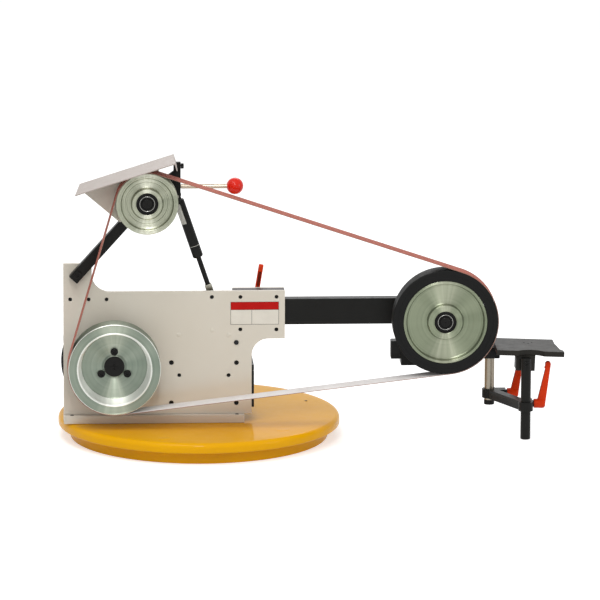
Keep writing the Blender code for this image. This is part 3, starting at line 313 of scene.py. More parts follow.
def turned_metal(name, centre, colour, other, painted_sheen, roughness):
    """Metal turned about an axis along Y through centre; its last colour is the painted highlight above and
    below the axis.
    """
    material, tree, shader = new_finish(name, colour, roughness, 1.0, Anisotropic=STRETCH)
    where = placed(tree, centre)
    ring_inputs = {"Vector": where, "Scale": WAVE / FEED, "Distortion": 0.4, "Detail": 2.0,
                   "Detail Scale": 1.5}
    rings = add_node(tree, "TexWave", ring_inputs, wave_type="RINGS", rings_direction="Y").outputs["Fac"]
    parts = add_node(tree, "SeparateXYZ", {0: where})
    across = add_node(tree, "CombineXYZ", {"X": parts.outputs["X"], "Z": parts.outputs["Z"]}).outputs[0]
    radius = calculate(tree, "LENGTH", across, kind="VectorMath", output="Value")
    band = add_node(tree, "CombineXYZ", {"X": radius}).outputs[0]
    passes = noise(tree, band, 0.004, 3, 0.7)
    outward = calculate(tree, "NORMALIZE", across, kind="VectorMath")
    # Painted reflection: light and dark sectors round the axis, painted into the base colour in place of the
    # fans that lamps would show.
    fan = noise(tree, outward, 0.7, 1)
    share = calculate(tree, "ADD", spread(tree, passes, 0, 0.5), spread(tree, fan, 0, 0.5))
    # Painted highlight: the light stands above and below, so the base colour is painted brightest, in
    # streaks, straight over and under the middle.
    turn = calculate(tree, "ARCTAN2", parts.outputs["Z"], parts.outputs["X"])
    height = calculate(tree, "COSINE", calculate(tree, "MULTIPLY", turn, 2.0))
    painted_glint = calculate(tree, "POWER", spread(tree, height, 1.0, 0.0, -1.0, 0.1), 2.5)
    streaks = spread(tree, noise(tree, outward, 0.16, 2, 0.6), 0.35, 1.0)
    painted_glint = calculate(tree, "MULTIPLY", painted_glint, streaks)
    bright = add_node(tree, "Mix", {"Factor": painted_glint, "A": tint(tree, share, colour, other)}, data_type="RGBA")
    bright.inputs["B"].default_value = srgb(painted_sheen)
    tree.links.new(bright.outputs["Result"], shader.inputs["Base Color"])
    tree.links.new(spread(tree, passes, roughness * 0.8, roughness * 1.3), shader.inputs["Roughness"])
    # The facets of the rings lean outwards and inwards on a face, and along the axis on a rim.
    leaning = calculate(tree, "ADD", outward, (0, 0.5, 0), kind="VectorMath")
    leaning = add_node(tree, "VectorTransform", {0: leaning}, vector_type="VECTOR", convert_from="OBJECT",
                       convert_to="WORLD").outputs[0]
    tree.links.new(calculate(tree, "NORMALIZE", leaning, kind="VectorMath"), shader.inputs["Tangent"])
    relief(tree, shader, rings, RING_DEPTH)
    return material


# The last colour of each is its painted highlight.
DRIVE_ALUMINIUM = turned_metal("turned aluminium of the drive wheel", middle_of("drive_wheel"),
                               "#8E9689", "#6C786C", "#A4AA9B", 0.36)
CONTACT_ALUMINIUM = turned_metal("turned aluminium of the contact wheel", middle_of("contact_wheel_hub"),
                                 "#8B927C", "#6A725E", "#A9AC98", 0.34)
TRACKING_ALUMINIUM = turned_metal("turned aluminium of the tracking wheel", middle_of("tracking_wheel"),
                                  "#ADAF9C", "#868B79", "#CFD0C0", 0.34)
LIP_ALUMINIUM = turned_metal("polished aluminium of the dish", middle_of("drive_wheel"), "#ECEDE7", "#CDD0C8",
                             "#F8F8F2", 0.48)

# %% [markdown]
# ### Steel, zinc, rubber and plastic
# Ground bars carry faint scratches round them; zinc plating has a cloudy bloom. The tyre is pressed rubber
# with a dry skin. The ball is phenolic resin, which takes a deep polish, and the box and buttons are
# moulded plastic with a spark-eroded texture of about 0.5 mm, drawn at 0.8 mm.

# %% Steel and zinc
def ground_steel(name, colour, other, roughness, stretch, depth=0.000008):
    """Steel with fine scratches; stretch is large along the axis that the scratches cross."""
    material, tree, shader = new_finish(name, colour, roughness, 1.0)
    scratches = noise(tree, placed(tree, stretch=stretch), 0.004, 4, 0.7)
    tree.links.new(tint(tree, spread(tree, scratches, 0, 1), colour, other), shader.inputs["Base Color"])
    tree.links.new(spread(tree, scratches, roughness * 0.75, roughness * 1.3), shader.inputs["Roughness"])
    relief(tree, shader, scratches, depth)
    return material


POST_STEEL = ground_steel("ground steel post", "#9C9486", "#7F786C", 0.30, (1, 1, 12))
ROD_STEEL = ground_steel("drawn steel rod", "#BDB0A0", "#B0A494", 0.30, (0.1, 2, 2), depth=0.000001)
BRIGHT_STEEL = ground_steel("bright spring steel", "#A5A5A0", "#8F8F8A", 0.24, (1, 6, 1))
ZINC = ground_steel("zinc plated steel", "#9E9C90", "#838177", 0.38, (1, 1, 1))


# %% Rubber and plastic
def moulded(name, colour, other, roughness, grain, depth, **constants):
    """A moulded skin: a fine texture and a little handling shine."""
    material, tree, shader = new_finish(name, colour, roughness, **constants)
    where = placed(tree)
    pebbles = add_node(tree, "TexVoronoi", {"Vector": where, "Scale": 1 / grain}).outputs["Distance"]
    handling = noise(tree, where, 0.03, 3, 0.6)
    tree.links.new(tint(tree, spread(tree, handling, 0, 1), colour, other), shader.inputs["Base Color"])
    tree.links.new(spread(tree, handling, roughness * 0.85, roughness * 1.15), shader.inputs["Roughness"])
    relief(tree, shader, pebbles, depth)
    return material


TYRE_RUBBER = moulded("black tyre rubber", "#0E0E0E", "#131413", 0.58, 0.0012, 0.00003,
                      Specular_IOR_Level=0.15)
SEAL_RUBBER = moulded("bearing seal rubber", "#0C0C0B", "#11100F", 0.45, 0.0006, 0.00002,
                      Specular_IOR_Level=0.15)
BLACK_ABS = moulded("black moulded ABS", "#0F0F0F", "#151515", 0.42, 0.0008, 0.00003,
                    Specular_IOR_Level=0.25)
RED_PHENOLIC = coated("polished red phenolic", "#D61E05", "#D01B04", 0.30, 0.030, 0.00001,
                      Specular_IOR_Level=0.15, Coat_Weight=0.25, Coat_Roughness=0.05)
RED_CAP = moulded("red button plastic", "#C01A12", "#B0140E", 0.32, 0.0008, 0.00001)
GREEN_CAP = moulded("green button plastic", "#1E7A35", "#18692C", 0.32, 0.0008, 0.00001)

# %% [markdown]
# ### The belt and the labels
# A coated abrasive belt has aluminium oxide grit on a cotton backing. The grit is about 0.3 mm, drawn at
# 0.9 mm; the grains differ in colour because some show resin and some a bare face. The backing's threads
# are 0.6 mm apart, drawn at 1.2 mm. The stickers are printed vinyl, left blank.

# %% Grit and cloth
def grit_coat():
    """Grains of grit, each of its own shade."""
    material, tree, shader = new_finish("aluminium oxide grit", "#A9594A", 0.85)
    grains = add_node(tree, "TexVoronoi", {"Vector": placed(tree), "Scale": 1 / 0.0009})
    shade = add_node(tree, "SeparateColor", {0: grains.outputs["Color"]}).outputs[0]
    tree.links.new(tint(tree, shade, "#C0705E", "#8A4033"), shader.inputs["Base Color"])
    relief(tree, shader, grains.outputs["Distance"], 0.0004)
    return material


def backing_cloth(name, first, second):
    """Woven threads with some soiling."""
    material, tree, shader = new_finish(name, first, 0.75, Sheen_Weight=0.15)
    where = placed(tree, turn=(0, math.radians(-7), 0))
    threads = [add_node(tree, "TexWave", {"Vector": where, "Scale": WAVE / 0.0012, "Distortion": 0.6},
                        wave_type="BANDS", bands_direction=way).outputs["Fac"] for way in ("X", "Y")]
    weave = calculate(tree, "MULTIPLY", *threads)
    soiling = noise(tree, where, 0.05, 4, 0.6)
    share = calculate(tree, "ADD", spread(tree, soiling, 0, 0.6), spread(tree, weave, 0.4, 0, 0, 1))
    tree.links.new(tint(tree, share, first, second), shader.inputs["Base Color"])
    relief(tree, shader, weave, 0.00015)
    return material


GRIT = grit_coat()
CLOTH = backing_cloth("cotton belt backing", "#F0EDEB", "#D5CFCC")
BELT_EDGE = backing_cloth("cut edge of the belt", "#A8806F", "#7E5548")
LABEL_RED = moulded("red printed vinyl", "#B5100C", "#AC0D0A", 0.40, 0.002, 0.00001,
                    Specular_IOR_Level=0.12)
LABEL_WHITE = moulded("white printed vinyl", "#D9D4C8", "#D0CBBF", 0.35, 0.002, 0.00001)
LABEL_INK = moulded("black printed vinyl", "#2A2320", "#332A26", 0.40, 0.002, 0.00001)
LABEL_SILVER = moulded("silver printed vinyl", "#B9B8B0", "#A6A59D", 0.35, 0.002, 0.00001)
print("finishes", len(bpy.data.materials))

# %% [markdown]
# ## Cut and folded parts
# Plates, bars and blocks come off a saw, a mill or a press, and their edges are broken by a file or by the
# thick coat. Their CAD solids already have the right shape, so each is copied and its loose triangles are
# merged into whole faces. A Bevel modifier rounds the edges of those whose solids have no chamfers. The
# copy then stands for the CAD solid.

# %% A finished copy of a CAD solid
SHARP = math.radians(32)  # a crease steeper than this is an edge


def add_piece(name, shape, finish, body, slot, replaces=(), edge=0.0, steps=2, flat=None):
    """Makes an object from a bmesh, rounds its edges by edge and puts it on its body.

    Faces square to flat are shaded flat, which keeps a large face with many holes free of streaks.
    """
    mesh = bpy.data.meshes.new(name)
    shape.to_mesh(mesh)
    shape.free()
    for one in finish if isinstance(finish, (list, tuple)) else [finish]:
        mesh.materials.append(one)
    mesh.shade_smooth()
    mesh.set_sharp_from_angle(angle=SHARP)
    for one in mesh.polygons:
        if flat and abs(one.normal.dot(flat)) > 0.9999:
            one.use_smooth = False
    piece = new_object(name, mesh)
    if edge:
        rounding = piece.modifiers.new("broken edges", "BEVEL")
        rounding.width = edge
        rounding.segments = steps
        rounding.limit_method = "ANGLE"
        rounding.angle_limit = SHARP
        rounding.harden_normals = True
    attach(piece, body)
    if replaces:
        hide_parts(*replaces)
    return piece


def stand_in(name, shape, finish, node, **look):
    """A piece that takes the body and the place of one CAD solid."""
    return add_piece(name, shape, finish, frame["nodes"][node]["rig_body"], node, [node], **look)


def merged_copy(node):
    """The node's mesh with its triangles joined into whole flat faces."""
    shape = bmesh.new()
    shape.from_mesh(frame["nodes"][node].data)
    bmesh.ops.remove_doubles(shape, verts=shape.verts, dist=0.00001)
    bmesh.ops.dissolve_limit(shape, angle_limit=math.radians(0.5), verts=shape.verts, edges=shape.edges)
    return shape


def finished(node, finish, edge):
    stand_in(node + "_finished", merged_copy(node), finish, node, edge=edge)


for node, finish, edge in (
    ("foot_bar", BEIGE_COAT, 0.0), ("gusset_left", BEIGE_COAT, 0.0006), ("gusset_middle", BEIGE_COAT, 0.0006),
    ("receiver_top_bar", GREY_COAT, 0.0), ("receiver_bottom_bar", GREY_COAT, 0.0),
    ("receiver_back_plate", BEIGE_COAT, 0.0006), ("slide_arm", BLACK_COAT, 0.0),
    ("rest_bracket", BLACK_COAT, 0.0010), ("rest_bar", BLACK_COAT, 0.0), ("rest_head", BLACK_COAT, 0.0),
    ("rest_link", BLACK_COAT, 0.0008), ("rest_block", REST_COAT, 0.0), ("tool_rest", REST_COAT, 0.0008),
    ("tension_bar", BLACK_COAT, 0.0), ("lever_bracket", BLACK_COAT, 0.0007), ("hood", SHADED_HOOD_COAT, 0.0005),
    ("hood_cheek", BEIGE_COAT, 0.0005), ("control_box", BLACK_ABS, 0.0008),
    ("control_box_lid", BLACK_ABS, 0.0),
):
    finished(node, finish, edge)

# %% [markdown]
# ## Turned parts
# Wheels, posts, caps and bearings come off a lathe, so each is a profile of radius and height, spun once
# round its axis. The spin closes on itself with use_merge, the poles are merged, and the normals are worked
# out again after that, because a profile drawn downwards would spin inside out.

# %% Spin a profile
FACING = {
    "up": Matrix.Identity(4),
    "front": Matrix.Rotation(math.pi / 2, 4, "X"),
    "back": Matrix.Rotation(-math.pi / 2, 4, "X"),
    "right": Matrix.Rotation(math.pi / 2, 4, "Y"),
}


def settled(shape, placing, fill=False):
    """The shape with its open ends filled if asked, its faces looking outwards, moved to its place."""
    if fill:
        bmesh.ops.holes_fill(shape, edges=shape.edges[:], sides=0)
    bmesh.ops.recalc_face_normals(shape, faces=shape.faces)
    bmesh.ops.transform(shape, matrix=placing, verts=shape.verts)
    return shape


def spun(profile, placing, steps=96):
    """A bmesh turned from (radius, height) points; a profile that starts off the axis is closed on itself."""
    shape = bmesh.new()
    points = [shape.verts.new((radius, 0, height)) for radius, height in profile]
    closing = points[:1] if profile[0][0] > 0 else []
    edges = [shape.edges.new(pair) for pair in zip(points, points[1:] + closing)]
    bmesh.ops.spin(shape, geom=points + edges, cent=(0, 0, 0), axis=(0, 0, 1), angle=math.tau, steps=steps,
                   use_merge=True)
    bmesh.ops.remove_doubles(shape, verts=shape.verts, dist=0.000002)
    return settled(shape, placing)


def facing(way, origin):
    """The placing of a shape at origin, its own Z turned that way."""
    return Matrix.Translation(origin) @ FACING[way]


def quarter(centre_radius, centre_height, size, first, last, steps=5):
    """Profile points along an arc: radius and height of its centre, and its angles in degrees."""
    turns = [math.radians(first + (last - first) * index / steps) for index in range(steps + 1)]
    return [(centre_radius + size * math.cos(turn), centre_height + size * math.sin(turn)) for turn in turns]


# %% [markdown]
# ### Swivel base
# The turntable is a thick steel disc with a rolled-over rim on a smaller, fixed disc. The rim's arc is what
# catches the long bright line, so it gets real segments. Two caps close the holes of the lifting eyes, and
# one grub screw locks the swivel.

# %% Base and turntable
base_low, base_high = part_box("base_disc")
base_radius = base_high.x
RIM = 0.003
PIN_HOLE = 0.0125
PIN_FLOOR = 0.0076  # height of the bottom of the pin's hole
profile = [(0, base_low.z), (base_radius - 0.001, base_low.z), (base_radius, base_low.z + 0.001)]
profile += quarter(base_radius - RIM, base_high.z - RIM, RIM, 0, 90)
profile += [(0.095, base_high.z), (PIN_HOLE, base_high.z), (PIN_HOLE, PIN_FLOOR), (0, PIN_FLOOR)]
stand_in("base_disc_turned", spun(profile, FACING["up"], 192), YELLOW_ENAMEL, "base_disc")

table_low, table_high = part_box("turntable")
deck = table_high.z
table_radius = table_high.x
ROLL_RADIUS = 0.009
POCKET_RADIUS = 0.0905
POCKET = 0.0286  # roof of the pocket over the swivel's races
profile = [(PIN_HOLE, deck), (table_radius - 0.030, deck), (table_radius - 0.014, deck - 0.0003)]
profile += quarter(table_radius - ROLL_RADIUS, deck - ROLL_RADIUS - 0.0006, ROLL_RADIUS, 90, 0, 8)
profile += quarter(table_radius - 0.003, table_low.z + 0.003, 0.003, 0, -90)
profile += [(POCKET_RADIUS, table_low.z), (POCKET_RADIUS, POCKET), (PIN_HOLE, POCKET)]
stand_in("turntable_turned", spun(profile, FACING["up"], 224), YELLOW_ENAMEL, "turntable")

plug = middle_of("turntable_plug")
plug_radius = radius_of("turntable_plug")
profile = [(0, 0.0006), (plug_radius * 0.55, 0.0006), (plug_radius * 0.9, 0.0004), (plug_radius, 0.0001),
           (plug_radius, -0.0004), (0, -0.0004)]
for name, spot, replaced in (
    ("hole_cap_right", (plug.x, plug.y), ["turntable_plug"]), ("hole_cap_front", (-0.0732, -0.2244), []),
):
    cap = spun(profile, Matrix.Translation((*spot, deck)), 48)
    add_piece(name, cap, YELLOW_ENAMEL, "frame", "turntable_plug", replaced)
print("turntable", round(table_radius, 4), "deck", round(deck, 4))

# %% [markdown]
# ### Wheels
# The drive wheel is one deep dish of aluminium, bolted to the motor's hub through its floor; light runs
# round the polished lip of the dish and down its cone. The contact and tracking wheels have a rim, a dished
# web and a hub with a bearing. Each profile below runs from the front of the hub outwards, then back along
# the rear.

# %% Drive wheel
wheel_front = front_of("drive_wheel")
wheel_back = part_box("drive_wheel")[1].y
WIDTH = wheel_back - wheel_front
EDGE = 0.0012  # chamfer of a turned rim


def wheel_placing(node):
    """A wheel's placing: its profile starts at its back and rises to its front."""
    middle = middle_of(node)
    return facing("front", (middle.x, wheel_back, middle.z))


drive_radius = radius_of("drive_wheel")
DISH_FLOOR = 0.009
FLOOR_RADIUS = 0.063
MOUTH_RADIUS = 0.068
LIP = 0.0016
profile = [(0, DISH_FLOOR), (0.0205, DISH_FLOOR), (0.021, DISH_FLOOR - 0.0003), (0.0215, DISH_FLOOR)]
profile += [(FLOOR_RADIUS - 0.003, DISH_FLOOR)]
profile += quarter(FLOOR_RADIUS - 0.003, DISH_FLOOR + 0.003, 0.003, -90, -9, 6)
profile += quarter(MOUTH_RADIUS + LIP, WIDTH - LIP, LIP, 171, 90, 6)
profile += [(MOUTH_RADIUS + 0.0030, WIDTH), (MOUTH_RADIUS + 0.0034, WIDTH - 0.0004)]
profile += [(drive_radius - 0.0026, WIDTH - 0.0004), (drive_radius - 0.0020, WIDTH)]
profile += [(drive_radius - EDGE, WIDTH), (drive_radius, WIDTH - EDGE), (drive_radius, EDGE)]
profile += [(drive_radius - EDGE, 0), (0.040, 0), (0.038, 0.002), (0, 0.002)]
drive_placing = wheel_placing("drive_wheel")
drive_wheel = spun(profile, drive_placing, 192)
for one in drive_wheel.faces:
    spot = drive_placing.inverted() @ one.calc_center_median()
    reach = math.hypot(spot.x, spot.y)
    on_wall = FLOOR_RADIUS - 0.0008 < reach < MOUTH_RADIUS + 0.0032 and spot.z > DISH_FLOOR + 0.0005
    on_rim = reach > drive_radius - EDGE * 0.8 and spot.z > WIDTH - EDGE
    if on_wall or on_rim:
        one.material_index = 1
stand_in("drive_wheel_turned", drive_wheel, [DRIVE_ALUMINIUM, LIP_ALUMINIUM], "drive_wheel")

# %% Contact and tracking wheels
HUB_BORE = 0.0211


def web_profile(radius, rim, boss, recess, grooves=()):
    """A wheel with a rim, a dished web with shallow grooves, and a hub; both faces are recessed."""
    low = WIDTH - recess
    profile = [(HUB_BORE, WIDTH - 0.0004), (HUB_BORE + 0.0006, WIDTH), (boss - 0.001, WIDTH)]
    profile += [(boss, WIDTH - 0.001), (boss + 0.001, low + 0.004)]
    profile += quarter(boss + 0.004, low + 0.003, 0.003, 180, 270)
    for groove in grooves:
        profile += [(groove - 0.0012, low), (groove - 0.0006, low + 0.0014), (groove + 0.0016, low + 0.0014),
                    (groove + 0.0022, low)]
    inner = radius - rim
    profile += quarter(inner - 0.0045, low + 0.0035, 0.0035, -90, 0)
    profile += quarter(inner + 0.0008, WIDTH - 0.0008, 0.0008, 180, 90, 3)
    profile += [(inner + 0.0022, WIDTH), (inner + 0.0026, WIDTH - 0.0004)]
    profile += [(radius - EDGE, WIDTH - 0.0004), (radius, WIDTH - EDGE), (radius, EDGE), (radius - EDGE, 0)]
    profile += [(inner, 0), (inner - 0.003, recess / 2), (boss + 0.003, recess / 2), (boss, 0), (HUB_BORE, 0)]
    return profile


hub_radius = radius_of("contact_wheel_hub")
profile = web_profile(hub_radius, 0.0055, 0.033, 0.0100)
stand_in("contact_hub_turned", spun(profile, wheel_placing("contact_wheel_hub"), 192), CONTACT_ALUMINIUM,
         "contact_wheel_hub")

tracking_radius = radius_of("tracking_wheel")
profile = web_profile(tracking_radius, 0.0085, 0.0290, 0.0070, grooves=(0.0395,))
stand_in("tracking_wheel_turned", spun(profile, wheel_placing("tracking_wheel"), 160), TRACKING_ALUMINIUM,
         "tracking_wheel")

# %% Tyre
tyre_radius = radius_of("contact_wheel_tyre")
SHOULDER = 0.0022
inside = hub_radius + 0.0003
profile = quarter(inside + 0.0006, WIDTH - 0.0006, 0.0006, 180, 90, 3)
profile += [(inside + 0.0100, WIDTH), (inside + 0.0104, WIDTH - 0.0003), (inside + 0.0110, WIDTH)]
profile += quarter(tyre_radius - SHOULDER, WIDTH - SHOULDER, SHOULDER, 90, 0)
profile += quarter(tyre_radius - SHOULDER, SHOULDER, SHOULDER, 0, -90)
profile += [(inside, 0)]
stand_in("tyre_pressed", spun(profile, wheel_placing("contact_wheel_tyre"), 192), TYRE_RUBBER,
         "contact_wheel_tyre")

# %% [markdown]
# ### Bearings and axle ends
# A sealed ball bearing shows an outer ring, a rubber seal and an inner ring; a bright snap ring holds it,
# and the dark end of the axle has the centre hole that the lathe's point left.

# %% Bearings
BEARING_RADIUS = 0.0208
INNER_RING = 0.0150
AXLE_RADIUS = 0.0103
face = WIDTH - 0.0025
ring_profile = [
    (BEARING_RADIUS, 0.0005), (BEARING_RADIUS, face - 0.0006), (BEARING_RADIUS - 0.0006, face),
    (BEARING_RADIUS - 0.0022, face), (BEARING_RADIUS - 0.0026, face - 0.0010),
    (INNER_RING + 0.0012, face - 0.0010), (INNER_RING + 0.0008, face - 0.0002), (INNER_RING - 0.0006, face),
    (AXLE_RADIUS + 0.0005, face),
    (AXLE_RADIUS, face - 0.0005), (AXLE_RADIUS, 0.0005),
]
snap_profile = quarter(0.0141, face + 0.0004, 0.0006, 0, 315, 7)
end_profile = [(0, -0.0006), (0.0009, 0.0002), (0.0012, 0.0006), (0.0080, 0.0006), (0.0088, 0.0001),
               (0.0088, -0.0010), (0, -0.0010)]
for node, axle, wheel_body, axle_body in (
    ("contact_bearing", "contact_axle", "contact_wheel", "arm"),
    ("tracking_bearing", "tracking_axle", "tracking_wheel", "tension_arm"),
):
    placing = wheel_placing(node)
    stand_in(node + "_turned", spun(ring_profile, placing, 96), SEAL_RUBBER, node)
    add_piece(node + "_snap_ring", spun(snap_profile, placing, 64), BRIGHT_STEEL, wheel_body, node)
    middle = middle_of(node)
    end = spun(end_profile, facing("front", (middle.x, front_of(axle), middle.z)), 64)
    add_piece(axle + "_end", end, BLACK_FITTING, axle_body, axle)
    finished(axle, BLACK_FITTING, 0.0004)

# %% [markdown]
# ## The side plate
# The plate is laser-cut from 8 mm steel and coated. Black screws are sunk in its tapped and clearance
# holes, and three more screws are painted over. A flat curve with round holes gives the outline in one
# step, and its own bevel breaks every edge, the holes' edges included.

# %% A plate from a flat outline
def arc_points(centre, radius, first, last, count=12):
    """Points along an arc, angles in degrees from the first axis to the second."""
    turns = [math.radians(first + (last - first) * index / count) for index in range(count + 1)]
    return [(centre[0] + radius * math.cos(turn), centre[1] + radius * math.sin(turn)) for turn in turns]


def round_hole(centre, radius, count=32):
    """The outline of a round hole."""
    return arc_points(centre, radius, 0, 360, count)[:-1]


def cut_plate(outline, thickness, broken, placing, holes=()):
    """A bmesh of a flat outline with holes, centred on its own plane, its edges rounded by broken."""
    curve = bpy.data.curves.new("cut", "CURVE")
    curve.dimensions = "2D"
    curve.fill_mode = "BOTH"
    curve.extrude = thickness / 2 - broken
    curve.bevel_depth = broken
    curve.bevel_resolution = 1
    curve.offset = -broken
    for loop in (outline, *holes):
        spline = curve.splines.new("POLY")
        spline.points.add(len(loop) - 1)
        for point, (across, along) in zip(spline.points, loop):
            point.co = (across, along, 0, 1)
        spline.use_cyclic_u = True
    guide = new_object("cut", curve)
    mesh = bpy.data.meshes.new_from_object(guide.evaluated_get(bpy.context.evaluated_depsgraph_get()))
    bpy.data.objects.remove(guide)
    shape = bmesh.new()
    shape.from_mesh(mesh)
    bpy.data.meshes.remove(mesh)
    bmesh.ops.remove_doubles(shape, verts=shape.verts, dist=0.000005)
    return settled(shape, placing)


plate_low, plate_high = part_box("side_plate")
plate_front = plate_low.y
PLATE = plate_high.y - plate_low.y
TOP = 0.299  # of the long upper edge; the tab at the left rises above it
TAB_RIGHT = -0.207
TAB_FILLET = 0.034
BODY_RIGHT = 0.097  # of the plate below its tongue
TONGUE_BOTTOM = 0.206
TONGUE_FILLET = 0.032
drive = middle_of("drive_wheel")
pivot = middle_of("pivot_bolt")
outline = [(plate_low.x, plate_low.z), (BODY_RIGHT, plate_low.z)]
outline += arc_points((BODY_RIGHT + TONGUE_FILLET, TONGUE_BOTTOM - TONGUE_FILLET), TONGUE_FILLET, 180, 90, 16)
outline += [(plate_high.x, TONGUE_BOTTOM), (plate_high.x, TOP)]
outline += arc_points((TAB_RIGHT + TAB_FILLET, TOP + TAB_FILLET), TAB_FILLET, 270, 180, 16)
outline += [(TAB_RIGHT, plate_high.z), (plate_low.x, plate_high.z)]

TAPPED = 0.0038  # radius of the tapped holes' mouths
CLEARANCE = 0.0046  # radius of the holes whose screws sit deep
tapped_holes = [(-0.248, 0.2847), (-0.213, 0.2844), (-0.179, 0.2842), (0.021, 0.2874), (0.0753, 0.2870),
                (0.144, 0.2870), (0.0752, 0.2240), (0.144, 0.2235), (-0.041, 0.1357), (0.053, 0.1350)]
clearance_holes = [(-0.056, 0.1604), (0.068, 0.1594), (-0.056, 0.082), (0.068, 0.081)]
HUB_HOLE = 0.045  # radius, for the motor's hub
PIVOT_HOLE = 0.0053  # radius, for the tension arm's bolt
holes = [round_hole((drive.x, drive.z), HUB_HOLE, 48), round_hole((pivot.x, pivot.z), PIVOT_HOLE)]
holes += [round_hole(spot, TAPPED) for spot in tapped_holes]
holes += [round_hole(spot, CLEARANCE) for spot in clearance_holes]
placing = Matrix.Translation((0, plate_front + PLATE / 2, 0)) @ FACING["front"]
shape = cut_plate(outline, PLATE, 0.0005, placing, holes)
plate = stand_in("side_plate_cut", shape, BEIGE_COAT, "side_plate", flat=Vector((0, 1, 0)))
print("plate holes", len(holes), "faces", len(plate.data.polygons))

# %% [markdown]
# ### Screws
# A socket screw is a turned head with a hexagonal recess. The recess starts as the same round loop as the
# head: each point is drawn in to the flat of the hexagon, and the loop is then extruded down. The painted
# screws are plain low buttons, because the coat has filled their sockets.

# %% Socket and painted screws
def raised(shape, loop):
    """Extrudes a loop of edges: the new edges, and the new points for the caller to move."""
    made = bmesh.ops.extrude_edge_only(shape, edges=loop)["geom"]
    edges = [part for part in made if isinstance(part, bmesh.types.BMEdge)]
    return edges, [part for part in made if isinstance(part, bmesh.types.BMVert)]


def screw_head(radius, height, socket, placing, floor=0.4, facets=36):
    """A socket screw's head; socket is from its middle to a flat, floor the share of height left below it."""
    shape = bmesh.new()
    bmesh.ops.create_circle(shape, segments=facets, radius=radius)
    broken = min(0.0004, radius * 0.15)
    steps = [
        (radius, height - broken, False), (radius - broken, height, False), (socket * 1.22, height, False),
        (socket, height - 0.0002, True), (socket, height * floor, True),
    ]
    loop = shape.edges[:]
    for reach, rise, hexagonal in steps:
        loop, points = raised(shape, loop)
        for vert in points:
            turn = math.atan2(vert.co.y, vert.co.x)
            from_flat = (turn % (math.pi / 3)) - math.pi / 6
            length = reach / math.cos(from_flat) if hexagonal else reach
            vert.co = (length * math.cos(turn), length * math.sin(turn), rise)
    return settled(shape, placing, fill=True)


def joined(shapes):
    """One bmesh from several."""
    whole = bmesh.new()
    for shape in shapes:
        mesh = bpy.data.meshes.new("joining")
        shape.to_mesh(mesh)
        shape.free()
        whole.from_mesh(mesh)
        bpy.data.meshes.remove(mesh)
    return whole


PLAY = 0.0003  # between a sunk screw and its hole
sunk = []
for spots, hole, height, socket, depth in (
    (tapped_holes, TAPPED, 0.003, 0.0015, 0.0050),
    (clearance_holes, CLEARANCE, 0.004, 0.0020, 0.0055),
):
    sunk += [screw_head(hole - PLAY, height, socket, facing("front", (x, plate_front + depth, z)))
             for x, z in spots]
add_piece("plate_screws", joined(sunk), BLACK_FITTING, "frame", "side_plate")

painted_spots = [(-0.0414, 0.2144), (0.0213, 0.2236), (0.0526, 0.2137)]
painted_profile = [(0, 0.0007), (0.0030, 0.0007), (0.0042, 0.0003), (0.0046, -0.0002), (0, -0.0002)]
painted = [spun(painted_profile, facing("front", (x, plate_front, z)), 40) for x, z in painted_spots]
add_piece("painted_screws", joined(painted), BEIGE_COAT, "frame", "side_plate")
add_piece("stop_screw", screw_head(0.0046, 0.0016, 0.0019, facing("front", (0.0676, plate_front, 0.1990))),
          MOTOR_ENAMEL, "frame", "side_plate")

foot_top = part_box("foot_bar")[1].z
FOOT_SPOTS = ((-0.2453, -0.0942), (0.0688, -0.0942))
foot_screws = [screw_head(0.0038, 0.0006, 0.0018, facing("up", (x, y, foot_top - 0.0001)))
               for x, y in FOOT_SPOTS]
add_piece("foot_screws", joined(foot_screws), BLACK_FITTING, "frame", "foot_bar")
grub = screw_head(0.0030, 0.0008, 0.0014, facing("up", (0.2106, 0.0846, deck - 0.0003)))
add_piece("swivel_grub_screw", grub, BLACK_FITTING, "frame", "turntable")

# %% [markdown]
# ### Drive wheel hardware
# A black cap covers the shaft's bolt and three socket screws hold the wheel. The cap has a cross recess:
# four cuts each way divide its top face into a cross and the rest, and the cross is pushed down.

# %% Cap and screws of the drive wheel
def divide(shape, spot, way):
    """Cuts the faces of a shape where they meet a plane, and leaves it whole."""
    everything = shape.verts[:] + shape.edges[:] + shape.faces[:]
    bmesh.ops.bisect_plane(shape, geom=everything, plane_co=spot, plane_no=way)


def cross_cap(radius, height, cross, width, placing):
    """A round cap with a cross recess in its top face."""
    shape = bmesh.new()
    bmesh.ops.create_circle(shape, cap_ends=True, segments=64, radius=radius)
    for way in ((1, 0, 0), (0, 1, 0)):
        for reach in (-cross, -width, width, cross):
            divide(shape, Vector(way) * reach, way)
    sunk_faces = []
    for one in shape.faces:
        spot = one.calc_center_median()
        reach_x, reach_y = abs(spot.x), abs(spot.y)
        if min(reach_x, reach_y) < width and max(reach_x, reach_y) < cross:
            sunk_faces.append(one)
    made = bmesh.ops.extrude_face_region(shape, geom=sunk_faces)["geom"]
    bmesh.ops.delete(shape, geom=sunk_faces, context="FACES_ONLY")
    lowered = [part for part in made if isinstance(part, bmesh.types.BMVert)]
    bmesh.ops.translate(shape, vec=(0, 0, -0.0015), verts=lowered)
    rim = [edge for edge in shape.edges if edge.is_boundary]
    bmesh.ops.translate(shape, vec=(0, 0, -height), verts=raised(shape, rim)[1])
    return settled(shape, placing, fill=True)


CROSS = 0.0062  # reach of the cross recess
CROSS_WIDTH = 0.0011  # half of the width of its arms
cap_low, cap_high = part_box("drive_cap")
cap = cross_cap(radius_of("drive_cap"), cap_high.y - cap_low.y, CROSS, CROSS_WIDTH,
                facing("front", (drive.x, cap_low.y, drive.z)))
stand_in("drive_cap_turned", cap, BLACK_FITTING, "drive_cap", edge=0.0009, steps=3)

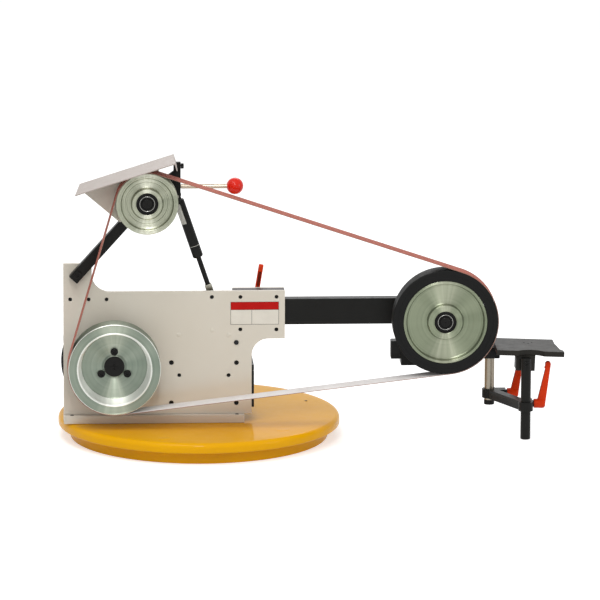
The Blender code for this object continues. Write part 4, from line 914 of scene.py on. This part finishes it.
SCREW_CIRCLE = 0.0284
SCREW_HEAD = 0.0072
dish_face = wheel_back - DISH_FLOOR
wheel_screws = [screw_head(SCREW_HEAD, 0.0030, 0.0034, facing("front", (x, dish_face, z)), floor=0.1)
                for x, z in arc_points((drive.x, drive.z), SCREW_CIRCLE, 90, 330, 2)]
add_piece("drive_wheel_screws", joined(wheel_screws), BLACK_FITTING, "drive", "drive_wheel")

# %% [markdown]
# ## The abrasive belt
# The belt runs round the three wheels, so its path is the outer tangents and the arcs between them. It is
# cut like the plate, from a ring of two such paths. Its outer faces carry the grit, its inner ones show the
# cloth backing, and a face is sorted by whether it looks away from the middle of the loop.

# %% Belt
def tangent_turn(first, second):
    """The direction from each centre to where the outer tangent of two circles touches, in radians."""
    apart = Vector(second[0]) - Vector(first[0])
    return math.atan2(apart.y, apart.x) - math.acos((first[1] - second[1]) / apart.length)


def belt_path(wheels, offset):
    """The loop round wheels listed anticlockwise, with a point every degree or two on the wheels."""
    path = []
    for index, wheel in enumerate(wheels):
        start = tangent_turn(wheels[index - 1], wheel)
        end = tangent_turn(wheel, wheels[(index + 1) % len(wheels)])
        end += math.tau if end < start else 0
        path += arc_points(wheel[0], wheel[1] + offset, math.degrees(start), math.degrees(end), 64)
    return path


contact = middle_of("contact_wheel_hub")
tracking = middle_of("tracking_wheel")
wheels = [((drive.x, drive.z), drive_radius), ((contact.x, contact.z), tyre_radius),
          ((tracking.x, tracking.z), tracking_radius)]
UNDER_BELT = 0.0003  # gap to the wheels
BELT = 0.0012  # thickness
belt_low, belt_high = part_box("abrasive_belt")
placing = Matrix.Translation((0, (belt_low.y + belt_high.y) / 2, 0)) @ FACING["front"]
shape = cut_plate(belt_path(wheels, UNDER_BELT + BELT), belt_high.y - belt_low.y, 0.00015, placing,
                  [belt_path(wheels, UNDER_BELT)])
inside_point = sum((Vector((wheel[0][0], 0, wheel[0][1])) for wheel in wheels), Vector()) / 3
for one in shape.faces:
    if abs(one.normal.y) > 0.5:
        one.material_index = 2
    elif one.normal.dot(one.calc_center_median() - inside_point) < 0:
        one.material_index = 1
belt = stand_in("belt_coated", shape, [GRIT, CLOTH, BELT_EDGE], "abrasive_belt")
print("belt faces", len(belt.data.polygons))

# %% [markdown]
# ## Clamp levers
# Three identical die-cast levers clamp the arm and the two posts of the rest. A lever has a round hub with
# a black steel insert, an elbow, and a tapering grip with a thicker end and two pockets in its side, which
# save metal. One function makes it in its own frame: X up the grip, Z outwards along the hub.

# %% Lever
HUB = 0.0232  # length of the hub
POCKET_WALL = (0.0385, 0.0415)  # along the grip, between its two pockets
# The pockets and the web along the grip's inner edge take a darker orange: painted shade in the hollows.
HOLLOW_SHADE_COAT = coated("orange coat in a shaded hollow", "#6E1C06", "#581503", 0.55, 0.0012, 0.00005,
                     cloud=0.01, Specular_IOR_Level=0.1)


GRIP = arc_points((-0.0010, 0.0155), 0.0080, 180, 97, 8) + arc_points((0.0765, 0.0280), 0.0055, 97, -110, 12)
GRIP += [(0.0690, 0.0212), (0.0672, 0.0228), (0.0125, 0.0100), (0.0080, 0.0085)]
# The web is the floor of the hollow along the grip's inner edge; its finish is the darker orange of painted
# shade.
WEB = [(0.0130, 0.0098), (0.0668, 0.0225), (0.0668, 0.0265), (0.0130, 0.0140)]


def in_finish(shape, index):
    """The shape with all its faces in its piece's finish of that index."""
    for one in shape.faces:
        one.material_index = index
    return shape


def clamp_lever(node, outward, upward):
    """A lever in place of its CAD solid; outward is the hub's axis and upward the way its grip points."""
    joint = next(one for one in frame["joints"] if one["child"] == frame["nodes"][node]["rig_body"])
    outward, upward = Vector(outward), Vector(upward)
    placing = Matrix((upward, outward.cross(upward), outward)).transposed().to_4x4()
    placing.translation = joint["pos_m"]
    flat_way = placing @ FACING["front"]
    grip = cut_plate(GRIP, 0.0090, 0.0016, flat_way)
    for reach in POCKET_WALL:
        divide(grip, placing @ Vector((reach, 0, 0)), upward)
    pockets = []
    for one in grip.faces:
        spot = placing.inverted() @ one.calc_center_median()
        if one.normal.dot(outward) < -0.9 and one.calc_area() > 0.0001 and spot.x > 0.013:
            pockets.append(one)
    bmesh.ops.inset_individual(grip, faces=pockets, thickness=0.0014, depth=-0.0028)
    for one in pockets:
        one.material_index = 1
    hub = spun([(0, HUB), (0.0062, HUB), (0.0086, HUB - 0.0022), (0.0092, HUB - 0.0050), (0.0088, 0.0022),
                (0.0082, 0.0016), (0, 0.0016)], placing, 48)
    insert = spun([(0, 0.0018), (0.0066, 0.0018), (0.0066, 0.0002), (0.0030, 0.0002), (0.0030, -0.0052),
                   (0, -0.0052)], placing, 32)
    web = cut_plate(WEB, 0.0040, 0.0004, flat_way)
    lever = joined([grip, hub, in_finish(insert, 2), in_finish(web, 1)])
    stand_in(node + "_cast", lever, [ORANGE_COAT, HOLLOW_SHADE_COAT, BLACK_FITTING], node)


LOCK_LEAN = math.radians(10)  # of the arm's lever from upright
clamp_lever("arm_lock_lever", (0, 1, 0), (math.sin(LOCK_LEAN), 0, math.cos(LOCK_LEAN)))
clamp_lever("rest_lever_rear", (1, 0, 0), (0, 0, 1))
clamp_lever("rest_lever_front", (1, 0, 0), (0, 0, 1))
print("levers", 3)

# %% [markdown]
# ## Tool rest
# The rear post is ground bright bar, which slides in its clamp; the front post is blackened. Both ends of
# each are chamfered. The table is screwed to its block by three small screws, and a wing screw on the head
# clamps the rear post.

# %% Posts and rest screws
def chamfered_bar(radius, low, high, placing, chamfer=0.001, steps=64):
    """A round bar between two heights with both ends chamfered."""
    return spun([(0, high), (radius - chamfer, high), (radius, high - chamfer), (radius, low + chamfer),
                 (radius - chamfer, low), (0, low)], placing, steps)


for node, finish in (("rest_rear_post", POST_STEEL), ("rest_front_post", BLACK_COAT)):
    low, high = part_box(node)
    spot = Matrix.Translation(((low.x + high.x) / 2, (low.y + high.y) / 2, 0))
    stand_in(node + "_turned", chamfered_bar(radius_of(node), low.z, high.z, spot), finish, node)

low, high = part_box("rest_rear_post")
collar_spot = Matrix.Translation(((low.x + high.x) / 2, (low.y + high.y) / 2, low.z))
collar_profile = [(0.0097, 0.0092), (0.0101, 0.0088), (0.0101, 0.0004), (0.0097, 0.0), (0.0094, 0.0),
                  (0.0094, 0.0092)]
collar = spun(collar_profile, collar_spot, 64)
add_piece("rear_post_end", collar, BLACK_FITTING, "rest_slide", "rest_rear_post")

low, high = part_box("tilt_screw")
tilt = middle_of("tilt_screw")
head = screw_head(0.0046, 0.0034, 0.0021, facing("front", (tilt.x, low.y + 0.0032, tilt.z)), floor=0.3)
shank = spun([(0, 0), (0.003, 0), (0.003, high.y - low.y - 0.0035), (0, high.y - low.y - 0.0035)],
             facing("back", (tilt.x, low.y + 0.0031, tilt.z)), 24)
stand_in("tilt_screw_turned", joined([head, shank]), BLACK_FITTING, "tilt_screw")

REST_TILT = math.radians(2.2)  # of the table at rest
tilted = Matrix.Translation((tilt.x, 0, tilt.z)) @ Matrix.Rotation(REST_TILT, 4, "Y")
TABLE_FACE = 0.200 - 0.176  # of the table above the tilt screw
screw_profile = [(0.0006, 0.0), (0.0007, 0.0004), (0.0016, 0.0004), (0.0022, -0.0002), (0.0006, -0.0004)]
table_screws = [spun(screw_profile, tilted @ Matrix.Translation((offset, y, TABLE_FACE)), 24)
                for offset, y in ((0.0010, -0.1120), (0.0085, -0.1190), (0.0160, -0.1110))]
add_piece("table_screws", joined(table_screws), BLACK_FITTING, "rest_top", "tool_rest")

head_low, head_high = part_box("rest_head")
# Behind the post, where the table does not sweep over it when the link swings.
knob_spot = ((head_low.x + head_high.x) / 2 + 0.001, (head_low.y + head_high.y) / 2 + 0.009, head_high.z)
knob_profile = [(0, 0.0125), (0.0030, 0.0125), (0.0046, 0.0110), (0.0050, 0.0085), (0.0038, 0.0060),
                (0.0032, 0.0010), (0.0044, 0.0), (0, 0.0)]
knob = spun(knob_profile, Matrix.Translation(knob_spot), 32)
wing_outline = arc_points((-0.0045, 0.0105), 0.0030, 60, 300, 8)
wing_outline += arc_points((0.0045, 0.0105), 0.0030, -120, 120, 8)
wings = cut_plate(wing_outline, 0.0024, 0.0005, facing("front", knob_spot))
add_piece("head_wing_screw", joined([knob, wings]), BLACK_ABS, "rest_slide", "rest_head")

# %% [markdown]
# ## Tension arm
# The handle is a drawn steel rod that ends in a phenolic ball. Its ball has a flat where the rod enters.
# The bracket carries the knurled screw that steers the belt, and the gas spring that keeps it tight: a
# black cylinder with a printed sticker, a rod and a zinc-plated eye fitting.

# %% Handle, ball and tracking screw
handle_low, handle_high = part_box("tension_handle")
handle = middle_of("tension_handle")
rod_radius = (handle_high.z - handle_low.z) / 2
length = handle_high.x - handle_low.x
rod_profile = [(0, length), (rod_radius, length), (rod_radius, 0.0089), (rod_radius - 0.0006, 0.0083),
               (0.003, 0.0083), (0.003, 0.0), (0, 0.0)]
rod_placing = facing("right", (handle_low.x, handle.y, handle.z))
stand_in("handle_rod", spun(rod_profile, rod_placing, 48), ROD_STEEL, "tension_handle")

ball = middle_of("ball_knob")
ball_radius = (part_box("ball_knob")[1].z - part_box("ball_knob")[0].z) / 2
NECK = 0.0062  # radius of the flat round the rod
flat_turn = math.degrees(math.acos(NECK / ball_radius))
ball_profile = [(0, ball_radius)] + quarter(0, 0, ball_radius, 84, -flat_turn, 40)
seat = -ball_radius * math.sin(math.radians(flat_turn))
mouth = rod_radius + 0.0003
ball_profile += [(NECK - 0.0008, seat - 0.0004), (mouth, seat - 0.0004), (mouth, -0.010), (0, -0.010)]
stand_in("ball_polished", spun(ball_profile, facing("right", ball), 96), RED_PHENOLIC, "ball_knob")

screw_low, screw_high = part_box("tracking_screw")
screw = middle_of("tracking_screw")


def knurled(radius, height, placing, teeth=24, depth=0.0004):
    """A round knob with straight knurling: every other point of its round loop is drawn in."""
    shape = bmesh.new()
    bmesh.ops.create_circle(shape, cap_ends=False, segments=teeth * 2, radius=radius)
    for index, vert in enumerate(shape.verts):
        if index % 2:
            vert.co *= 1 - depth / radius
    loop = shape.edges[:]
    for reach, rise in ((1.0, height - 0.0008), (0.86, height), (0.5, height), (0.44, height - 0.001)):
        loop, points = raised(shape, loop)
        for vert in points:
            flat_length = math.hypot(vert.co.x, vert.co.y)
            size = reach * (flat_length if reach == 1.0 else radius)
            vert.co = (vert.co.x / flat_length * size, vert.co.y / flat_length * size, rise)
    return settled(shape, placing, fill=True)


screw_radius = (screw_high.z - screw_low.z) / 2
tracking_knob = knurled(screw_radius, screw_high.x - screw_low.x,
                        facing("right", (screw_low.x, screw.y, screw.z)))
stand_in("tracking_knob", tracking_knob, BLACK_FITTING, "tracking_screw")

pivot_low, pivot_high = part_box("pivot_bolt")
bolt = joined([
    screw_head(0.0074, 0.0033, 0.0034, facing("front", (pivot.x, pivot_low.y + 0.0033, pivot.z)), floor=0.2),
    chamfered_bar(0.005, 0.0, pivot_high.y - pivot_low.y - 0.0034,
                  facing("back", (pivot.x, pivot_low.y + 0.0033, pivot.z)), 0.0006, 32),
])
stand_in("pivot_bolt_turned", bolt, BLACK_FITTING, "pivot_bolt")

# %% Gas spring
spring_top, spring_foot = middle_of("gas_top_stud"), middle_of("gas_lower_stud")
SPRING_Y = -0.066  # of the spring's axis
spring_line = Vector((spring_foot.x - spring_top.x, 0, spring_foot.z - spring_top.z))
spring_placing = Matrix.Translation((spring_top.x, SPRING_Y, spring_top.z))
spring_placing @= spring_line.to_track_quat("Z", "Y").to_matrix().to_4x4()
spring_length = spring_line.length
START, END = 0.012, 0.128  # of the cylinder, from the top eye
FITTING = 0.184  # start of the rod's end fitting
TUBE = 0.0100  # radius of the cylinder
ROD = 0.0047  # radius of the rod
ROD_START = 0.1002  # of the rod inside the cylinder
cylinder_profile = [
    (0, 0.0020), (0.0058, 0.0020), (0.0062, 0.0026), (0.0062, START - 0.0020), (0.0088, START - 0.0010),
    (TUBE, START + 0.0004), (TUBE, END - 0.0242), (0.0097, END - 0.0238), (0.0097, END - 0.0232),
    (TUBE, END - 0.0228), (TUBE, END - 0.0040), (0.0094, END - 0.0012), (0.0080, END), (0.0053, END),
    (0.0053, START + 0.020), (0, START + 0.020),
]


def spring_eye(bore, centre):
    """The round eye at an end of the spring."""
    profile = [(bore, 0.0045), (bore, -0.0045), (0.0080, -0.0045), (0.0085, -0.0040), (0.0085, 0.0040),
               (0.0080, 0.0045)]
    return spun(profile, facing("back", (centre.x, SPRING_Y, centre.z)), 48)


cylinder = joined([spun(cylinder_profile, spring_placing, 64), spring_eye(0.0038, spring_top)])
stand_in("gas_cylinder_painted", cylinder, BLACK_COAT, "gas_spring_cylinder")
line_profile = [(0.0099, END - 0.0240), (0.0101, END - 0.0238), (0.0101, END - 0.0232),
                (0.0099, END - 0.0230)]
add_piece("gas_cylinder_line", spun(line_profile, spring_placing, 64), LABEL_SILVER, "gas_cylinder",
          "gas_spring_cylinder")

rod_profile = [(0, FITTING + 0.002), (ROD, FITTING + 0.002), (ROD, ROD_START), (0, ROD_START)]
fitting_profile = [(0, FITTING), (0.0070, FITTING), (0.0075, FITTING + 0.0006),
                   (0.0075, spring_length - 0.0080), (0.0055, spring_length - 0.0050),
                   (0, spring_length - 0.0050)]
fitting = spun(fitting_profile, spring_placing, 4)
bmesh.ops.rotate(fitting, cent=spring_placing.translation,
                 matrix=Matrix.Rotation(math.radians(45), 3, spring_line.normalized()), verts=fitting.verts)
WIDER = 1.25  # a spun square is narrower across its flats than a round of the same radius
widened = spring_placing @ Matrix.Diagonal((WIDER, WIDER, 1, 1)) @ spring_placing.inverted()
bmesh.ops.transform(fitting, matrix=widened, verts=fitting.verts)
low_eye = spring_eye(0.0052, spring_foot)
rod = joined([spun(rod_profile, spring_placing, 48), in_finish(fitting, 1), in_finish(low_eye, 1)])
stand_in("gas_rod_ground", rod, [BLACK_FITTING, ZINC], "gas_spring_rod")

STICKER_FROM, STICKER_TO = 0.018, 0.058
STICKER_RADIUS = 0.01008
STICKER_WRAP = math.radians(150)
sticker = bmesh.new()
ends = [sticker.verts.new((STICKER_RADIUS, 0, height)) for height in (STICKER_FROM, STICKER_TO)]
seam = sticker.edges.new(ends)
bmesh.ops.spin(sticker, geom=ends + [seam], cent=(0, 0, 0), axis=(0, 0, 1), angle=STICKER_WRAP, steps=40)
bmesh.ops.recalc_face_normals(sticker, faces=sticker.faces)
if sum(one.normal.dot(one.calc_center_median() * Vector((1, 1, 0))) for one in sticker.faces) < 0:
    bmesh.ops.reverse_faces(sticker, faces=sticker.faces)
aim = spring_placing.to_3x3().inverted() @ Vector((-1, -0.25, 0))
first = math.atan2(aim.y, aim.x) - STICKER_WRAP / 2
bmesh.ops.rotate(sticker, cent=(0, 0, 0), matrix=Matrix.Rotation(first, 3, "Z"), verts=sticker.verts)
bmesh.ops.transform(sticker, matrix=spring_placing, verts=sticker.verts)
add_piece("gas_cylinder_sticker", sticker, LABEL_SILVER, "gas_cylinder", "gas_spring_cylinder")
print("gas spring", round(spring_length, 4))

# %% [markdown]
# ## The safety sticker
# A printed vinyl sticker: a red band over two white fields, with a thin dark frame. It is one grid, cut
# along its lines, and each field's print is chosen by where its middle lies. It carries no words or signs.

# %% Sticker on the tongue
STICKER_LOW, STICKER_HIGH = Vector((0.0565, 0.2336)), Vector((0.1485, 0.2778))
LINE = 0.0007  # width of the dark lines
VINYL = 0.00012  # thickness
VINYL_BACK = 0.00014  # from the plate to the grid that is made solid
RED_SHARE, DIVIDER = 0.35, 0.44  # of the height and of the width
size = STICKER_HIGH - STICKER_LOW
centre = (STICKER_LOW + STICKER_HIGH) / 2
red_from = STICKER_HIGH.y - RED_SHARE * size.y
split = STICKER_LOW.x + DIVIDER * size.x
label = bmesh.new()
bmesh.ops.create_grid(label, x_segments=1, y_segments=1, size=0.5)
bmesh.ops.scale(label, vec=(size.x, size.y, 1), verts=label.verts)
bmesh.ops.translate(label, vec=(centre.x, centre.y, 0), verts=label.verts)
cuts_x = (STICKER_LOW.x + LINE, split - LINE / 2, split + LINE / 2, STICKER_HIGH.x - LINE)
cuts_z = (STICKER_LOW.y + LINE, red_from - LINE / 2, red_from + LINE / 2, STICKER_HIGH.y - LINE)
for cuts, way in ((cuts_x, (1, 0, 0)), (cuts_z, (0, 1, 0))):
    for reach in cuts:
        divide(label, Vector(way) * reach, way)
for one in label.faces:
    spot = one.calc_center_median()
    inside = cuts_x[0] < spot.x < cuts_x[3] and cuts_z[0] < spot.y < cuts_z[3]
    if inside and spot.y > cuts_z[2]:
        one.material_index = 0
    elif inside and spot.y < cuts_z[1] and not cuts_x[1] < spot.x < cuts_x[2]:
        one.material_index = 1
    else:
        one.material_index = 2
bmesh.ops.solidify(label, geom=label.faces[:], thickness=VINYL)
bmesh.ops.transform(label, matrix=facing("front", (0, plate_front - VINYL_BACK, 0)), verts=label.verts)
bmesh.ops.recalc_face_normals(label, faces=label.faces)
add_piece("safety_sticker", label, [LABEL_RED, LABEL_WHITE, LABEL_INK], "frame", "side_plate")

# %% [markdown]
# ## Motor and switches
# The motor is a flange-mounted induction motor in a ribbed cast housing, with a pressed steel cover over
# its fan. The cover's end is a grille, made as rings that are joined by spokes, with the dark inside behind
# them. Four bolts hold the flange. The switch box carries two round buttons, each in a moulded bezel.

# %% Motor
motor = middle_of("motor_flange")
motor_placing = facing("back", (motor.x, 0, motor.z))
flange_low, flange_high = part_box("motor_flange")
housing_low, housing_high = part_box("motor_housing")
cover_low, cover_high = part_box("motor_fan_cover")
flange_radius = radius_of("motor_flange")
housing_radius = radius_of("motor_housing")
BORE = 0.0126  # for the shaft
flange_profile = [(BORE, flange_low.y), (flange_radius - 0.001, flange_low.y),
                  (flange_radius, flange_low.y + 0.001), (flange_radius, flange_high.y - 0.0015),
                  (flange_radius - 0.0015, flange_high.y), (BORE, flange_high.y)]
stand_in("motor_flange_cast", spun(flange_profile, motor_placing, 128), MOTOR_ENAMEL, "motor_flange")


def radial_bars(count, size, spot, first=0.0, rounded=0.0):
    """Bars that stand out from the motor's axis like spokes; rounded breaks their outer edges."""
    bars = []
    for index in range(count):
        bar = bmesh.new()
        bmesh.ops.create_cube(bar, size=1.0)
        bmesh.ops.scale(bar, vec=size, verts=bar.verts)
        if rounded:
            outer = [edge for edge in bar.edges if all(vert.co.x > 0 for vert in edge.verts)]
            bmesh.ops.bevel(bar, geom=outer, offset=rounded, affect="EDGES", segments=2, profile=0.5,
                            material=-1)
        bmesh.ops.translate(bar, vec=spot, verts=bar.verts)
        turn = Matrix.Rotation(math.tau * (index + first) / count, 3, "Z")
        bmesh.ops.rotate(bar, cent=(0, 0, 0), matrix=turn, verts=bar.verts)
        bmesh.ops.transform(bar, matrix=motor_placing, verts=bar.verts)
        bars.append(bar)
    return bars


FIN = 0.0075  # depth of the ribs
INSIDE = 0.063  # inner radius of the housing
core = housing_radius - FIN
start, end = housing_low.y, housing_high.y
housing_profile = [(INSIDE, start), (housing_radius, start), (housing_radius, start + 0.010),
                   (core, start + 0.013), (core, end - 0.013), (housing_radius, end - 0.010),
                   (housing_radius, end), (BORE, end), (BORE, end - 0.012), (INSIDE, end - 0.012)]
housing = spun(housing_profile, motor_placing, 96)
RIBS = 36
ribs = radial_bars(RIBS, (FIN + 0.002, 0.0026, end - start - 0.018),
                   (core + FIN / 2 - 0.0011, 0, (start + end) / 2), rounded=0.0008)
stand_in("motor_housing_cast", joined([housing] + ribs), MOTOR_ENAMEL, "motor_housing")

start, end = cover_low.y, cover_high.y
WALL = 0.0016
ROUND = 0.006  # radius of the cover's rounded corner
cover_profile = [(housing_radius, start)] + quarter(housing_radius - ROUND, end - ROUND, ROUND, 0, 90, 8)
cover_profile += [(0.0700, end), (0.0700, end - WALL), (housing_radius - ROUND, end - WALL)]
cover_profile += quarter(housing_radius - ROUND, end - ROUND, ROUND - WALL, 90, 0, 8)[1:]
cover_profile += [(housing_radius - WALL, start)]
grille = [spun(cover_profile, motor_placing, 128)]
for radius in (0.0135, 0.0280, 0.0420, 0.0560):
    outer, inner = radius + 0.0030, radius - 0.0025
    ring = [(outer, end), (outer, end - WALL), (inner, end - WALL), (inner, end)]
    grille.append(spun(ring, motor_placing, 96))
SPOKES = 8
grille += radial_bars(SPOKES, (0.0590, 0.0050, WALL * 0.9), (0.0415, 0, end - WALL / 2), first=0.5)
stand_in("fan_cover_pressed", joined(grille), MOTOR_ENAMEL, "motor_fan_cover")

BOLT_CIRCLE = 0.0955
bolt_profile = [(0, 0.0040), (0.0030, 0.0040), (0.0040, 0.0034), (0.0040, 0.0), (0, 0.0)]
flange_bolts = [spun(bolt_profile, facing("back", (x, flange_high.y - 0.0003, z)), 6)
                for x, z in arc_points((motor.x, motor.z), BOLT_CIRCLE, 45, 315, 3)]
add_piece("motor_flange_bolts", joined(flange_bolts), BLACK_FITTING, "frame", "motor_flange")

cover_screws = []
for index in range(3):
    turn = math.radians(90 + 120 * index)
    outward = Vector((math.cos(turn), 0, math.sin(turn)))
    spot = Vector((motor.x, start + 0.008, motor.z)) + outward * (housing_radius - 0.0004)
    lean = outward.to_track_quat("Z", "Y").to_matrix().to_4x4()
    cover_screws.append(screw_head(0.0038, 0.0022, 0.0016, Matrix.Translation(spot) @ lean))
add_piece("fan_cover_screws", joined(cover_screws), ZINC, "frame", "motor_fan_cover")
print("motor ribs", RIBS, "cover spokes", SPOKES)

# %% Buttons
for node, finish in (("stop_button", RED_CAP), ("start_button", GREEN_CAP)):
    low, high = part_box(node)
    spot = middle_of(node)
    radius = radius_of(node)
    tall = high.y - low.y
    cap = [(0, tall - 0.0008), (radius * 0.62, tall - 0.0007), (radius - 0.0022, tall)]
    cap += quarter(radius - 0.0012, tall - 0.0012, 0.0012, 90, 0, 5) + [(radius, 0), (0, 0)]
    stand_in(node + "_cap", spun(cap, facing("back", (spot.x, low.y, spot.z)), 64), finish, node)
    box_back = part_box("control_box")[1].y
    bezel = [(radius + 0.0006, -0.0004), (radius + 0.0006, 0.0026), (radius + 0.0012, 0.0032),
             (radius + 0.0030, 0.0022), (radius + 0.0034, -0.0004)]
    add_piece(node + "_bezel", spun(bezel, facing("back", (spot.x, box_back, spot.z)), 64), BLACK_FITTING,
              "frame", "control_box")

lid_low, lid_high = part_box("control_box_lid")
INSET = 0.008  # of the lid's screws from its edges
lid_screws = [screw_head(0.0032, 0.0016, 0.0013, Matrix.Translation((x, y, lid_high.z - 0.0002)))
              for x in (lid_low.x + INSET, lid_high.x - INSET)
              for y in (lid_low.y + INSET, lid_high.y - INSET)]
add_piece("control_box_screws", joined(lid_screws), BRIGHT_STEEL, "frame", "control_box_lid")

# %% [markdown]
# ## What stays as it was cut
# The pins, studs, washer, rotor and swivel rings are hidden or seated, so their CAD solids are kept and
# only get their finish.

# %% Finishes of the kept solids
KEPT = (
    ("swivel_ring_lower", BRIGHT_STEEL), ("swivel_ring_upper", BRIGHT_STEEL), ("swivel_pin", POST_STEEL),
    ("pivot_washer", ZINC), ("gas_lower_stud", BLACK_FITTING), ("gas_top_stud", ZINC),
    ("motor_rotor", BLACK_ABS),
)
for node, finish in KEPT:
    solid = frame["nodes"][node]
    solid.data.materials.clear()
    solid.data.materials.append(finish)
print("kept solids", [node for node, finish in KEPT])
